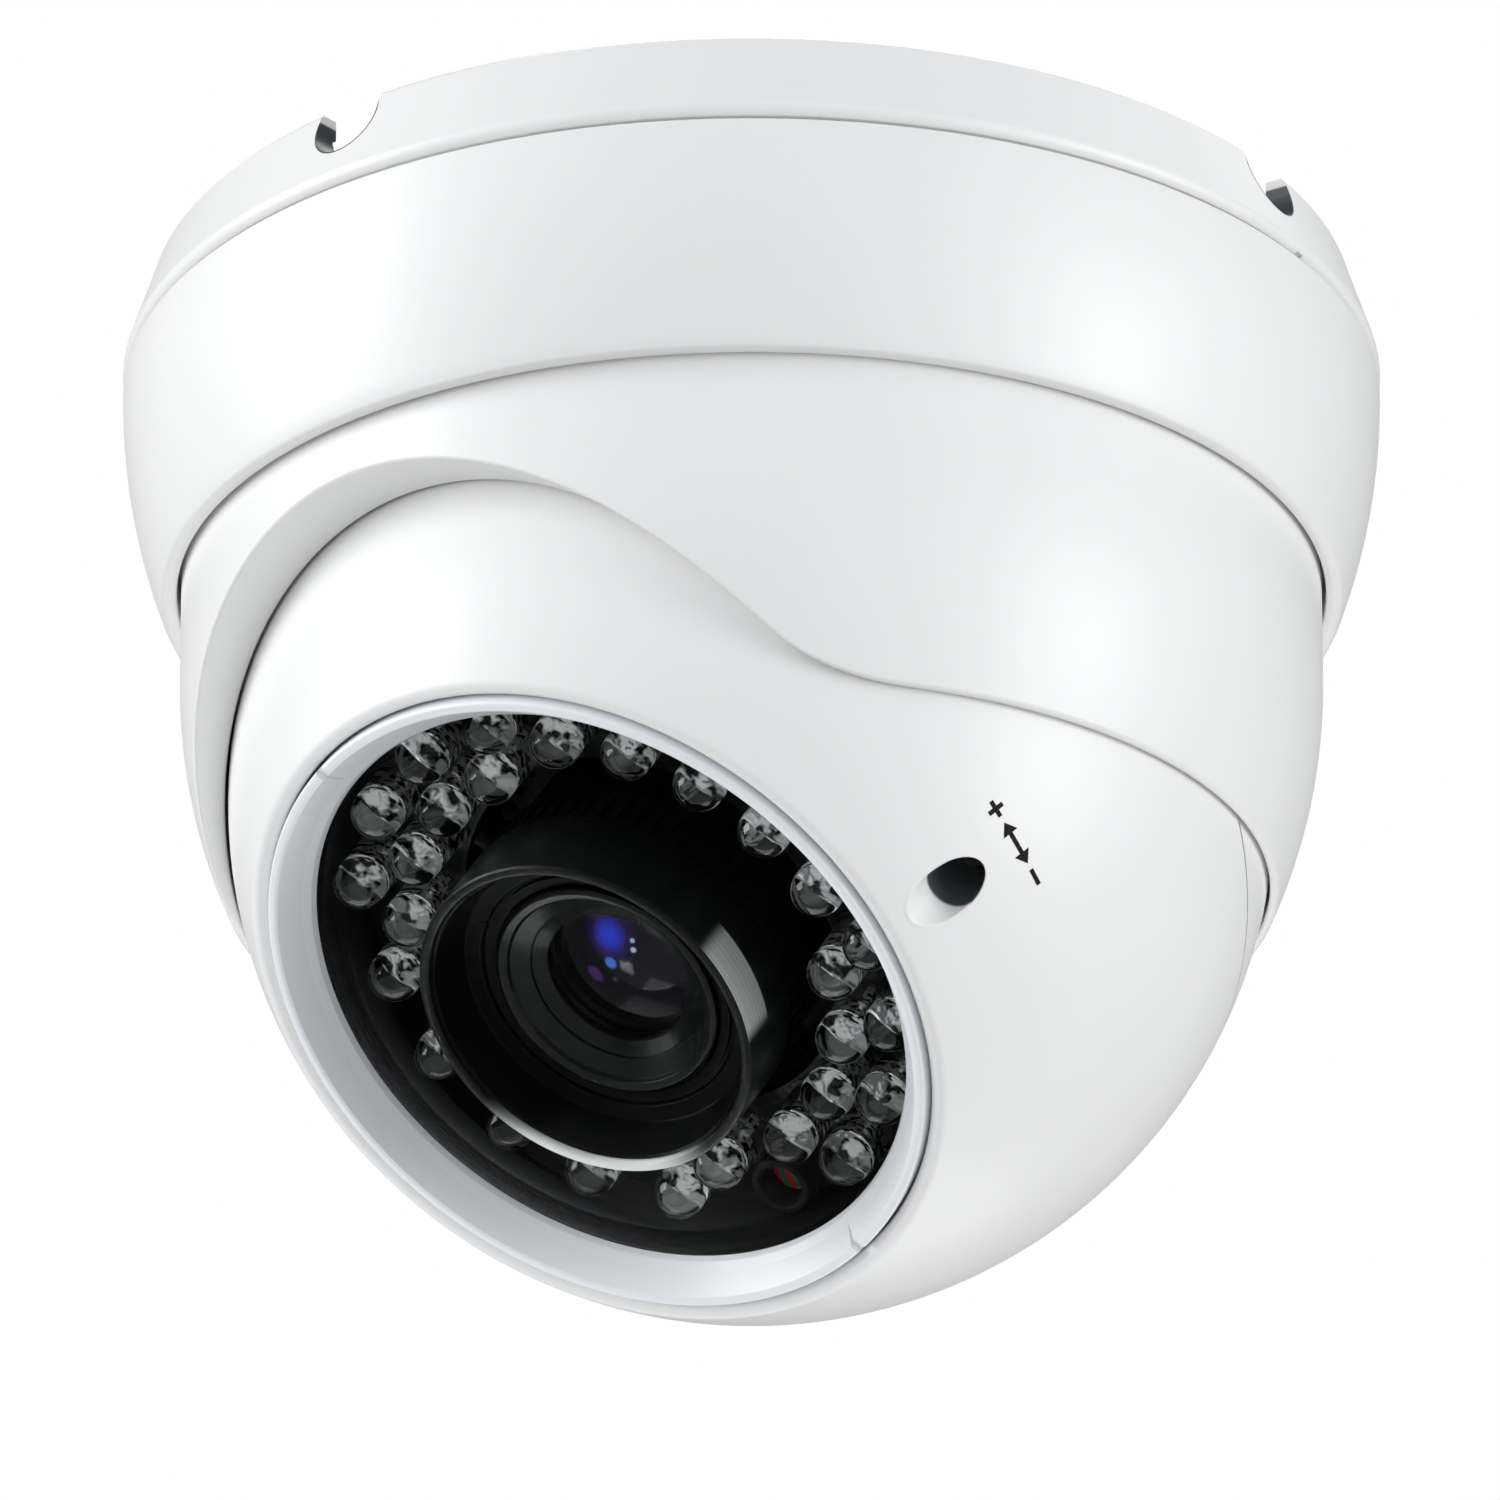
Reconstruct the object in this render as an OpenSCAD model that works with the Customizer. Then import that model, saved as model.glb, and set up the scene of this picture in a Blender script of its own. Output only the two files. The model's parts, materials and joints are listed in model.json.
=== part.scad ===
// Dome security camera for a ceiling: a fixed base and trim ring, a pan collar with a cut-away
// front, and an eyeball that tilts in the collar and holds a varifocal lens in a ring of infrared
// LEDs.  Millimetres.  The origin is the centre of the mounting face, +Z points into the ceiling,
// and the eyeball looks towards -Y.
//
// Inside the eyeball the parts are drawn in the window's own frame: its origin is the ball's
// centre, +Z is the optical axis, +X is the row's +X, and a height on it is called a depth.

/* [Base] */
// Outer radius at the widest point, where base and trim ring meet
base_r = 60; // [60:0.5:61]
// Outer radius of the base at the ceiling
base_top_r = 57.3; // [56.8:0.1:58]
// Height of the base wall
base_h = 9.5; // [9.3:0.1:9.7]
// Thickness of the base's back plate
plate_t = 2; // [1.6:0.1:2.1]
// Pitch circle radius of the ceiling screws
screw_pcr = 45; // [43:0.5:47]
// Radius of the ceiling screw holes
screw_hole_r = 2.25; // [1.8:0.05:2.6]
// Radius of the cable hole through the grommet
cable_hole_r = 12; // [9:0.5:12.5]
// Width of each notch in the base's upper edge
notch_w = 7.4; // [5:0.1:8]
// Depth of each notch
notch_h = 5.6; // [4.5:0.1:6]

/* [Collar] */
// Radius of the pan collar
collar_r = 54; // [53.8:0.1:54]
// Height of the collar's lower rim below the ball's centre
rim_drop = 9.7; // [9:0.1:10]
// Radius of the cut-away arch over the window
arch_r = 42.5; // [41:0.5:43]
// Depth of the arch's centre below the ball's centre
arch_drop = 26.9; // [26:0.1:28]
// Radius that blends the arch into the rim
arch_blend = 7; // [4:0.5:8]

/* [Eyeball] */
// Radius of the ball
ball_r = 49.3; // [49.2:0.05:49.3]
// Depth of the ball's centre below the ceiling
ball_drop = 51.9; // [51.9:0.1:52.5]
// Wall thickness of the ball's shells
wall = 2.3; // [2:0.1:2.4]
// Tilt of the optical axis from straight down
tilt = 37.1; // [10:0.1:60]
// Radius of the screw-in window bezel
bezel_r = 33.7; // [33.4:0.05:33.7]
// Radius of the clear opening
opening_r = 30.3; // [30:0.05:30.4]

/* [Adjusters] */
// Distance of the zoom and focus access holes from the optical axis
access_x = 39.0; // [38.9:0.05:39.1]
// Offset of the access holes below the tilt axis
access_y = -4.2; // [-4.4:0.05:-4]
// Radius of the access holes
access_r = 2.4; // [2.2:0.05:2.6]
// Gear module
gear_module = 0.8; // [0.8:0.01:0.81]

/* [Lights] */
// Radius of the LEDs
led_r = 2.5; // [2:0.1:2.5]
// Depth of the centres of the LED domes
led_depth = 28; // [27.5:0.1:28]
// Turn of the LED pattern's line of symmetry from the +X side
led_turn = 34; // [0:1:60]

/* [Hidden] */
$fn = 96;
tiny = 0.01;
gap = 0.3;              // gap between surfaces that slide past each other
fit = 0.05;             // radial clearance of a running fit
ball_z = -ball_drop;

// Heights of the base, the trim ring and the pan bearing
base_z = -base_h;
trim_z = base_z - 0.3;
trim_sphere_r = base_r - 0.2;
trim_end_z = trim_z - 21.5;
trim_lip_r = collar_r + 0.4;
bayonet_r = 54.7;
base_bore_r = 55.7;
flange_r = 55.6;
flange_z = -26.6;
flange_t = 2;
ledge_z = flange_z - 0.4;
ring_z = flange_z + flange_t + 0.9;
ring_t = 1.2;
notch_turns = [3.6, 101.7, 183.6, 281.7];
relief_half = 14;       // half the turn of the plate's relief behind each notch
screw_turn = 52.6;
lug_turns = [30, 150, 270];
stop_z = -19.5;
stop_pin_r = 1.2;

// Collar
seat_r = ball_r + gap;
seat_top = 22.9;
rim_z = ball_z - rim_drop;
collar_bore_r = 51;

// Eyeball
inner_r = ball_r - wall;
parting = -4.3;
parting_gap = 0.15;
flange_in = 38.5;
cap_lean = 17;          // lean of the rear flat's normal from the optical axis, towards the ceiling
cap_depth = 36;
groove_r = 46.6;
groove_h = 0.45;
shell_screw_r = 42.5;
shell_screw_turns = [45, 135, 225, 315];
bracket_turns = [90, 210, 330];
bracket_r = 42;
pivot_r = 2.5;
pivot_head_r = 3.2;

// Window
bezel_face = 34.8;
bezel_foot = 31.25;
window_seat = 28.9;
window_base = window_seat + 0.8;
window_edge = bezel_foot - 0.05;
window_r = 47;
window_t = 1.6;
window_centre = window_edge - sqrt(pow(window_r, 2) - pow(opening_r, 2));

// Lights
board_depth = 20.3;
board_t = 1.6;
board_r = 35.5;
board_hole_r = 19.3;
board_screw_r = 33.3;
led_flange_r = led_r + 0.35;
led_row_r = 25;
led_far_row_r = 25.3;
led_outer_r = 27.2;
led_inner_r = 22.3;
photocell_at = -128;
photocell_place_r = 27;
led_places = concat(
    [for (a = [-34 : 17 : 34]) [a, led_row_r]],
    [for (i = [0 : 3]) for (s = [-1, 1]) [s * (48.5 + 19 * i), led_outer_r]],
    [for (i = [0 : 3]) for (s = [-1, 1]) [s * (55.5 + 19 * i), led_inner_r]],
    [[-136, 22.2]],
    [for (a = [149, 170, -149, -170, 128]) [a, led_far_row_r]]
);

// Gear train of each adjuster: ring, idler and spindle pinion on one line
ring_teeth = 46;
pinion_teeth = 10;
adjust_r = norm([access_x, access_y]);
adjust_turn = atan2(access_y, access_x);
idler_teeth = round((2 * adjust_r / gear_module - ring_teeth - pinion_teeth) / 2);
ring_pitch_r = ring_teeth * gear_module / 2;
idler_pitch_r = (adjust_r - ring_pitch_r - pinion_teeth * gear_module / 2) / 2;
idler_place_r = ring_pitch_r + idler_pitch_r;
pressure_angle = 25;
backlash = 0.14;
bracket_depth = 3.6;
bracket_t = 1.8;
zoom_depth = 7;
focus_depth = 12;
gear_t = 3.5;

// Lens
barrel_r = 13;
hood_r = 17;
hood_rim = 36.8;
hood_foot = 28.3;
glass_r = 7.4;
sensor_depth = -14.4;
board_gap = 5.2;
power_top = sensor_depth - 1.7 - board_gap;
gland_bore_r = 3;
pcb_side = 38;
pcb_t = 1.6;
pcb_hole = 16;          // distance of the boards' holes from the axis, along each side
pcb_hole_r = 1.3;
standoff_r = 2.4;

// ---------- shared shapes ----------

// Points of an arc about (x, z)
function arc(x, z, r, from, to, steps = 8) =
    [for (i = [0 : steps]) let (a = from + (to - from) * i / steps) [x + r * cos(a), z + r * sin(a)]];

// Flat ring or tube from height z
module tube(r_out, r_in, h, z = 0) {
    translate([0, 0, z]) difference() {
        cylinder(r = r_out, h = h);
        translate([0, 0, -tiny]) cylinder(r = r_in, h = h + 2 * tiny);
    }
}

// Puts the window's frame in place at the tilt of rest
module in_head() {
    translate([0, 0, ball_z]) rotate([180 - tilt, 0, 0]) children();
}

// Puts a child at a radius and a turn about the local axis
module at_turn(turn, r, z = 0) {
    rotate([0, 0, turn]) translate([r, 0, z]) children();
}

// Everything on the window side of a depth
module beyond(depth, h = 120) {
    translate([0, 0, depth + h / 2]) cube([150, 150, h], center = true);
}

// Involute of the base circle: the angle it has swept at a pressure angle
function involute(a) = tan(a) * 180 / PI - a;

// Half the angle of a tooth at a radius
function tooth_half(teeth, r) =
    let (pitch_r = teeth * gear_module / 2, base = pitch_r * cos(pressure_angle))
    90 / teeth - backlash / 4 / pitch_r * 180 / PI + involute(pressure_angle)
        - involute(acos(min(1, base / max(r, base))));

// Outline of a spur gear with a tooth centred on the local X axis
module gear_outline(teeth) {
    pitch_r = teeth * gear_module / 2;
    root = pitch_r - 1.02 * gear_module;
    tip = pitch_r + 0.78 * gear_module;
    base = max(root + 0.1, pitch_r * cos(pressure_angle));
    flank = [root, base, (base + tip) / 2, tip];
    polygon([for (t = [0 : teeth - 1]) for (side = [-1, 1]) for (i = [0 : 3])
        let (r = flank[side < 0 ? i : 3 - i], a = t * 360 / teeth + side * tooth_half(teeth, r))
        r * [cos(a), sin(a)]]);
}

// Slotted pan-head screw, its thread along -Z from the head's underside at height 0
module pan_screw(r, length, head_r, head_h) {
    translate([0, 0, -length]) cylinder(r = r, h = length + tiny);
    difference() {
        cylinder(r = head_r, h = head_h);
        translate([0, 0, head_h]) cube([2.4 * head_r, 0.5, head_h], center = true);
        translate([0, 0, head_h]) cube([0.5, 1.4 * head_r, head_h], center = true);
    }
}

// ---------- base ----------

module base_profile() {
    foot_r = base_r - 0.15;
    polygon(concat(
        [[16, 0], [base_top_r - 0.4, 0], [base_top_r, -0.4]],
        arc(foot_r - 1.2, base_z + 1.2, 1.2, 8, -60),
        [[base_bore_r, base_z], [base_bore_r, -plate_t], [16, -plate_t]]
    ));
}

module notch() {
    r = notch_w / 2;
    rotate([90, 0, 0]) linear_extrude(6) union() {
        translate([0, -notch_h + r]) circle(r = r);
        translate([-r, -notch_h + r]) square([notch_w, notch_h]);
    }
}

module mounting_base() {
    color("whitesmoke") difference() {
        union() {
            rotate_extrude() base_profile();
            for (a = lug_turns) rotate([0, 0, a - 12]) translate([0, 0, base_z + 0.9])
                rotate_extrude(angle = 24)
                    translate([bayonet_r + 0.15, 0]) square([base_bore_r - bayonet_r, 1.1]);
        }
        for (a = notch_turns) rotate([0, 0, a]) translate([0, -base_bore_r + 1, 0]) notch();
        for (a = notch_turns) rotate([0, 0, a - 90 - relief_half]) translate([0, 0, -plate_t - 1])
            rotate_extrude(angle = 2 * relief_half)
                translate([46, 0]) square([base_bore_r - 46.5, plate_t + 2]);
        for (i = [0 : 3]) at_turn(screw_turn - 90 + 90 * i, screw_pcr, -plate_t - 1)
            cylinder(r = screw_hole_r, h = plate_t + 2, $fn = 48);
        tube(27, 23, 1.1, -1);
        at_turn(14, base_r, base_z) cube([3, 1, 0.8], center = true);
    }
}

module base_gasket() {
    color("dimgray") tube(26.9, 23.1, 1, -1);
}

module cable_grommet() {
    color("black") difference() {
        union() {
            translate([0, 0, -plate_t - 0.4]) cylinder(r = 17.5, h = 0.4);
            translate([0, 0, -plate_t]) cylinder(r = 15.95, h = plate_t);
        }
        translate([0, 0, -plate_t - 1]) cylinder(r = cable_hole_r, h = plate_t + 2);
    }
}

module trim_profile() {
    centre_z = trim_z - 0.4;
    end_a = -asin((centre_z - trim_end_z - 1.1) / trim_sphere_r);
    groove_top = ring_z + ring_t + 0.1;
    polygon(concat(
        [[bayonet_r, trim_z], [trim_sphere_r - 0.3, trim_z]],
        arc(0, centre_z, trim_sphere_r, 0, end_a, 16),
        arc(trim_lip_r + 1, trim_end_z + 0.9, 0.9, -60, -150),
        [[trim_lip_r, trim_end_z + 0.9], [trim_lip_r, ledge_z], [flange_r + 0.3, ledge_z],
         [flange_r + 0.3, ring_z - 0.05], [flange_r + 1.3, ring_z - 0.05],
         [flange_r + 1.3, groove_top], [flange_r + 0.3, groove_top],
         [flange_r + 0.3, trim_z - 4], [53.4, trim_z - 1.6], [53.4, trim_z + 4],
         [bayonet_r, trim_z + 4]]
    ));
}

module trim_ring() {
    color("whitesmoke") difference() {
        union() {
            rotate_extrude() trim_profile();
            for (a = lug_turns) rotate([0, 0, a - 10]) translate([0, 0, base_z + 2.15])
                rotate_extrude(angle = 20)
                    translate([bayonet_r - 0.1, 0]) square([0.9, 1.2]);
        }
        at_turn(90, 50, stop_z) rotate([0, 90, 0]) cylinder(r = stop_pin_r + fit, h = 8.3, $fn = 48);
    }
}

module pan_stop_pin() {
    color("silver") at_turn(90, 51.6, stop_z) rotate([0, 90, 0])
        cylinder(r = stop_pin_r, h = 6.6, $fn = 48);
}

module pan_glide_washer() {
    color("ivory") tube(flange_r + 0.2, trim_lip_r, 0.34, ledge_z + 0.02);
}

module pan_wave_spring() {
    color("silver") tube(flange_r, 54.2, 0.5, flange_z + flange_t + 0.35);
}

module pan_retaining_ring() {
    color("gray") difference() {
        tube(flange_r + 1.2, 54.6, ring_t, ring_z);
        translate([0, -flange_r, ring_z]) cube([12, 8, 4], center = true);
    }
}

// ---------- pan collar ----------

module collar_profile() {
    wall_z = ball_z + 12;
    polygon(concat(
        [[30, rim_z]],
        arc(0, wall_z, collar_r, -asin((wall_z - rim_z) / collar_r), 0, 16),
        [[collar_r, flange_z], [flange_r, flange_z], [flange_r, flange_z + flange_t],
         [collar_bore_r, flange_z + flange_t], [collar_bore_r, ball_z + seat_top],
         [30, ball_z + seat_top]]
    ));
}

// Corner between arch and rim that the blend removes, seen along the heading
module arch_corner() {
    reach = arch_r + arch_blend - 0.12;
    blend_x = sqrt(pow(reach, 2) - pow(arch_drop - rim_drop + arch_blend, 2));
    blend_z = arch_blend - rim_drop;
    touch = [blend_x, blend_z + arch_drop] * arch_r / reach - [0, arch_drop];
    corner_x = sqrt(pow(arch_r, 2) - pow(arch_drop - rim_drop, 2));
    difference() {
        polygon([[corner_x - 2, -rim_drop - 1], [blend_x, -rim_drop - 1], [blend_x, blend_z], touch,
            [corner_x - 2, touch[1]]]);
        translate([blend_x, blend_z]) circle(r = arch_blend);
    }
}

module pan_collar() {
    color("whitesmoke") difference() {
        union() {
            rotate_extrude() collar_profile();
            rotate([0, 0, -92.5]) translate([0, 0, flange_z + flange_t - tiny])
                rotate_extrude(angle = 5) translate([51.4, 0]) square([2.6, 6.6]);
        }
        translate([0, 0, ball_z]) sphere(r = seat_r);
        translate([0, 0, ball_z - arch_drop]) rotate([90, 0, 0]) cylinder(r = arch_r, h = 70);
        for (side = [0, 1]) mirror([side, 0, 0])
            translate([0, 0, ball_z]) rotate([90, 0, 0]) linear_extrude(70) arch_corner();
        translate([0, 0, ball_z + seat_top - 2]) cylinder(r = 47, h = 3);
        for (side = [-1, 1]) translate([side * (seat_r - 1), 0, ball_z]) rotate([0, side * 90, 0])
            cylinder(r = 1.65, h = 3.2, $fn = 48);
    }
}

module collar_felt_ring() {
    z = ball_z + seat_top - 1.95;
    color("dimgray") difference() {
        tube(46.9, 40, 1.9, z);
        translate([0, 0, ball_z]) sphere(r = ball_r + 0.15);
    }
}

module tilt_pins() {
    color("silver") for (side = [-1, 1])
        translate([0, 0, ball_z]) rotate([0, side * 90, 0]) {
            translate([0, 0, 40.3]) difference() {
                cylinder(r = pivot_head_r, h = 1.6, $fn = 48);
                cylinder(r = 1.2, h = 2, $fn = 6, center = true);
            }
            translate([0, 0, 41.85]) cylinder(r = pivot_r, h = seat_r - 41.95, $fn = 48);
            translate([0, 0, seat_r - 0.15]) cylinder(r = 1.6, h = 2.1, $fn = 48);
        }
}

module tilt_washers() {
    color("ivory") for (side = [-1, 1])
        translate([0, 0, ball_z]) rotate([0, side * 90, 0])
            tube(pivot_head_r, pivot_r + fit, 0.5, 41.95);
}

// ---------- eyeball shells ----------

// Everything of the ball below its flat rear cap
module capped(trim = 0) {
    intersection() {
        children();
        rotate([cap_lean, 0, 0]) translate([0, 0, 60 - cap_depth + trim])
            cube([130, 130, 120], center = true);
    }
}

module access_hole(side, r, depth, h) {
    translate([side * access_x, access_y, depth]) cylinder(r = r, h = h, $fn = 48);
}

module front_shell() {
    color("whitesmoke") in_head() difference() {
        union() {
            difference() {
                intersection() {
                    sphere(r = ball_r);
                    beyond(parting + parting_gap);
                }
                sphere(r = inner_r);
            }
            intersection() {
                sphere(r = ball_r - 0.4);
                union() {
                    tube(38, opening_r + 0.7, 9, window_seat - 2.4);
                    tube(inner_r + 1, flange_in, 3, parting + parting_gap);
                    for (side = [-1, 1]) {
                        rotate([0, side * 90, 0]) translate([0, 0, 42.5]) cylinder(r = 3.6, h = 6);
                        access_hole(side, access_r + 1.5, 22.2, 12);
                    }
                    for (a = shell_screw_turns) at_turn(a, shell_screw_r, parting + 1)
                        cylinder(r = 3.6, h = 6, $fn = 48);
                    for (a = bracket_turns) at_turn(a, bracket_r, parting + 1)
                        cylinder(r = 3, h = bracket_depth - parting - 1, $fn = 48);
                    for (i = [0 : 3]) at_turn(led_turn + 90 * i, board_screw_r, board_depth + board_t)
                        cylinder(r = 2.2, h = 8, $fn = 48);
                }
            }
        }
        translate([0, 0, window_seat]) cylinder(r = bezel_r + 0.25, h = 30);
        translate([0, 0, 20]) cylinder(r = opening_r + 0.7, h = 20);
        for (side = [-1, 1]) {
            rotate([0, side * 90, 0]) translate([0, 0, 40]) {
                cylinder(r = pivot_r + fit, h = 12, $fn = 48);
                cylinder(r = pivot_head_r + gap, h = 2.5, $fn = 48);
            }
            access_hole(side, access_r, 10, 30);
        }
        for (a = shell_screw_turns) at_turn(a, shell_screw_r, parting - 1)
            cylinder(r = 1.5, h = 7, $fn = 48);
        for (a = bracket_turns) at_turn(a, bracket_r, bracket_depth - 5)
            cylinder(r = 1.25, h = 6, $fn = 48);
        for (i = [0 : 3]) at_turn(led_turn + 90 * i, board_screw_r, board_depth)
            cylinder(r = 1.05, h = 6.2, $fn = 48);
        tube(groove_r + 0.62, groove_r - 0.62, 2 * groove_h, parting + parting_gap - groove_h);
    }
}

module rear_shell() {
    color("whitesmoke") in_head() difference() {
        union() {
            difference() {
                capped() intersection() {
                    sphere(r = ball_r);
                    translate([0, 0, parting - parting_gap - 60]) cube([130, 130, 120], center = true);
                }
                capped(wall) sphere(r = inner_r);
            }
            capped(0.5) intersection() {
                sphere(r = ball_r - 0.4);
                union() {
                    tube(inner_r + 1, flange_in, 3, parting - parting_gap - 3);
                    for (a = shell_screw_turns) at_turn(a, shell_screw_r, -38)
                        cylinder(r = 3.9, h = 37 + parting, $fn = 48);
                }
            }
        }
        for (a = shell_screw_turns) at_turn(a, shell_screw_r, 0) {
            translate([0, 0, -10]) cylinder(r = 1.6, h = 10, $fn = 48);
            translate([0, 0, -50]) cylinder(r = 2.9, h = 42.5, $fn = 48);
        }
        rotate([cap_lean, 0, 0]) translate([0, 0, -cap_depth - 1]) cylinder(r = 6.1, h = 6, $fn = 48);
        tube(groove_r + 0.62, groove_r - 0.62, 2 * groove_h, parting - parting_gap - groove_h);
    }
}

module shell_o_ring() {
    color("black") in_head() rotate_extrude() translate([groove_r, parting]) circle(r = 0.58, $fn = 32);
}

module shell_screws() {
    color("silver") in_head() for (a = shell_screw_turns) at_turn(a, shell_screw_r, -7.55)
        rotate([180, 0, 0]) pan_screw(1.4, 8.5, 2.7, 1.8);
}

// ---------- window ----------

module window_bezel() {
    color("whitesmoke") in_head() difference() {
        rotate_extrude() polygon(concat(
            [[bezel_r - 0.4, bezel_foot], [bezel_r, bezel_foot + 0.4]],
            arc(bezel_r - 0.5, bezel_face - 0.5, 0.5, 0, 90, 4),
            arc(bezel_r - 0.75, bezel_face - 0.35, 0.35, 90, 150, 4),
            [[opening_r + 0.9, bezel_foot + 1.3], [opening_r + 0.2, bezel_foot + 0.5],
             [opening_r, bezel_foot]]
        ));
        for (a = [108.6, -73.5]) at_turn(a, bezel_r, bezel_face) cube([2.6, 1.1, 1.5], center = true);
    }
}

module window_dome() {
    color("lightcyan", 0.3) in_head() difference() {
        union() {
            intersection() {
                translate([0, 0, window_centre]) sphere(r = window_r);
                translate([0, 0, window_base]) cylinder(r = opening_r - 0.05, h = 20);
            }
            translate([0, 0, window_base]) cylinder(r = 33.3, h = window_edge - window_base - 0.1);
        }
        translate([0, 0, window_centre]) sphere(r = window_r - window_t);
    }
}

module window_gasket() {
    color("black") in_head() tube(33.2, opening_r + 0.8, 0.7, window_seat + 0.05);
}

module light_shroud() {
    top = window_seat + 0.6;
    color("black") in_head() tube(opening_r + 0.6, opening_r - 0.1, top - board_depth - board_t - 0.05,
        board_depth + board_t + 0.05);
}

// ---------- lights ----------

module led_board() {
    color("darkslategray") in_head() difference() {
        tube(board_r, board_hole_r, board_t, board_depth);
        for (i = [0 : 3]) at_turn(led_turn + 90 * i, board_screw_r, board_depth - 1)
            cylinder(r = 1.2, h = 4, $fn = 48);
    }
}

module led_board_screws() {
    color("silver") in_head() for (i = [0 : 3]) at_turn(led_turn + 90 * i, board_screw_r, board_depth - 0.05)
        rotate([180, 0, 0]) pan_screw(1, 6, 1.9, 1.2);
}

// Round-nosed LED standing on the board
module led() {
    foot = board_depth + board_t + 0.02;
    translate([0, 0, foot]) cylinder(r = led_flange_r, h = 1, $fn = 32);
    translate([0, 0, foot]) cylinder(r = led_r, h = led_depth - foot, $fn = 32);
    translate([0, 0, led_depth]) sphere(r = led_r, $fn = 32);
}

module ir_leds() {
    color("lightgray", 0.5) in_head()
        for (place = led_places) at_turn(led_turn + place[0], place[1]) led();
}

module photocell_tube() {
    color("black") in_head() at_turn(led_turn + photocell_at, photocell_place_r)
        tube(3, 2.2, 4.4, board_depth + board_t + 0.02);
}

module photocell() {
    color("indianred") in_head() at_turn(led_turn + photocell_at, photocell_place_r,
        board_depth + board_t + 0.02) cylinder(r = 2.1, h = 1.8, $fn = 48);
}

// ---------- adjuster gear trains ----------

// side is 1 for zoom and -1 for focus
function side_turn(side) = side > 0 ? adjust_turn : 180 - adjust_turn;

module gear_bracket() {
    color("silver") in_head() difference() {
        union() {
            tube(44.5, 20.5, bracket_t, bracket_depth);
            for (side = [-1, 1]) at_turn(side_turn(side), idler_place_r, bracket_depth + tiny) {
                depth = side > 0 ? zoom_depth : focus_depth;
                cylinder(r = 2.6, h = depth - bracket_depth - 0.1, $fn = 48);
                cylinder(r = 1.5, h = depth + gear_t + 1.2 - bracket_depth, $fn = 48);
            }
        }
        for (side = [-1, 1]) {
            at_turn(side_turn(side), adjust_r, bracket_depth - 1) cylinder(r = 2.6, h = 4, $fn = 48);
            at_turn(side_turn(side), idler_place_r, (side > 0 ? zoom_depth : focus_depth) + gear_t + 0.2)
                tube(2, 1.2, 0.5);
        }
        for (a = bracket_turns) at_turn(a, bracket_r, 0) cylinder(r = 1.35, h = 10, $fn = 48);
        for (a = shell_screw_turns) at_turn(a, shell_screw_r, 0) cylinder(r = 4.2, h = 10, $fn = 48);
    }
}

module bracket_screws() {
    color("silver") in_head() for (a = bracket_turns)
        at_turn(a, bracket_r, bracket_depth + bracket_t + 0.02) pan_screw(1.2, 6, 2.2, 1.4);
}

module spindle_bushes() {
    color("goldenrod") in_head() for (side = [-1, 1])
        at_turn(side_turn(side), adjust_r, bracket_depth - 0.4) difference() {
            union() {
                cylinder(r = 2.55, h = bracket_t + 0.4, $fn = 48);
                cylinder(r = 3.2, h = 0.38, $fn = 48);
            }
            translate([0, 0, -1]) cylinder(r = 1.5 + fit, h = 6, $fn = 48);
        }
}

module idler_clips() {
    color("gray") in_head() for (side = [-1, 1])
        at_turn(side_turn(side), idler_place_r, (side > 0 ? zoom_depth : focus_depth) + gear_t + 0.22)
            difference() {
                tube(3, 1.22, 0.44);
                translate([2, 0, 0]) cube([3, 1.6, 3], center = true);
            }
}

module idler(side) {
    depth = side > 0 ? zoom_depth : focus_depth;
    in_head() at_turn(side_turn(side), idler_place_r, depth) difference() {
        linear_extrude(gear_t) gear_outline(idler_teeth);
        translate([0, 0, -1]) cylinder(r = 1.5 + fit, h = gear_t + 2, $fn = 48);
    }
}

module spindle(side) {
    depth = side > 0 ? zoom_depth : focus_depth;
    foot = bracket_depth - 1.2;
    top = 21.4;
    in_head() at_turn(side_turn(side), adjust_r, 0) difference() {
        union() {
            translate([0, 0, foot]) cylinder(r = 1.5, h = top - foot, $fn = 48);
            translate([0, 0, bracket_depth + bracket_t + 0.1]) cylinder(r = 2.4, h = 0.8, $fn = 48);
            translate([0, 0, depth]) rotate([0, 0, 180 + 180 / pinion_teeth])
                linear_extrude(gear_t) gear_outline(pinion_teeth);
            translate([0, 0, top - 3]) cylinder(r = 2.1, h = 3, $fn = 48);
        }
        translate([0, 0, top]) cube([5, 0.8, 2.4], center = true);
    }
}

module zoom_idler() { color("white") idler(1); }
module focus_idler() { color("white") idler(-1); }
module zoom_spindle() { color("silver") spindle(1); }
module focus_spindle() { color("silver") spindle(-1); }

// ---------- lens ----------

module lens_barrel() {
    color("darkslategray") in_head() difference() {
        union() {
            translate([0, 0, -10.5]) cylinder(r = 6.9, h = 5);
            translate([0, 0, -6]) cylinder(r = barrel_r + 1.6, h = 10.8);
            translate([0, 0, 4]) cylinder(r = barrel_r, h = 19.5);
        }
        translate([0, 0, -11]) cylinder(r = 5.4, h = 10);
        translate([0, 0, -4.5]) cylinder(r = 9, h = 40);
    }
}

module zoom_ring() {
    color("dimgray") in_head() difference() {
        union() {
            translate([0, 0, 5]) cylinder(r = 16, h = 6.2);
            translate([0, 0, zoom_depth]) rotate([0, 0, adjust_turn])
                linear_extrude(gear_t) gear_outline(ring_teeth);
        }
        cylinder(r = barrel_r + fit, h = 20);
    }
}

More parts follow.
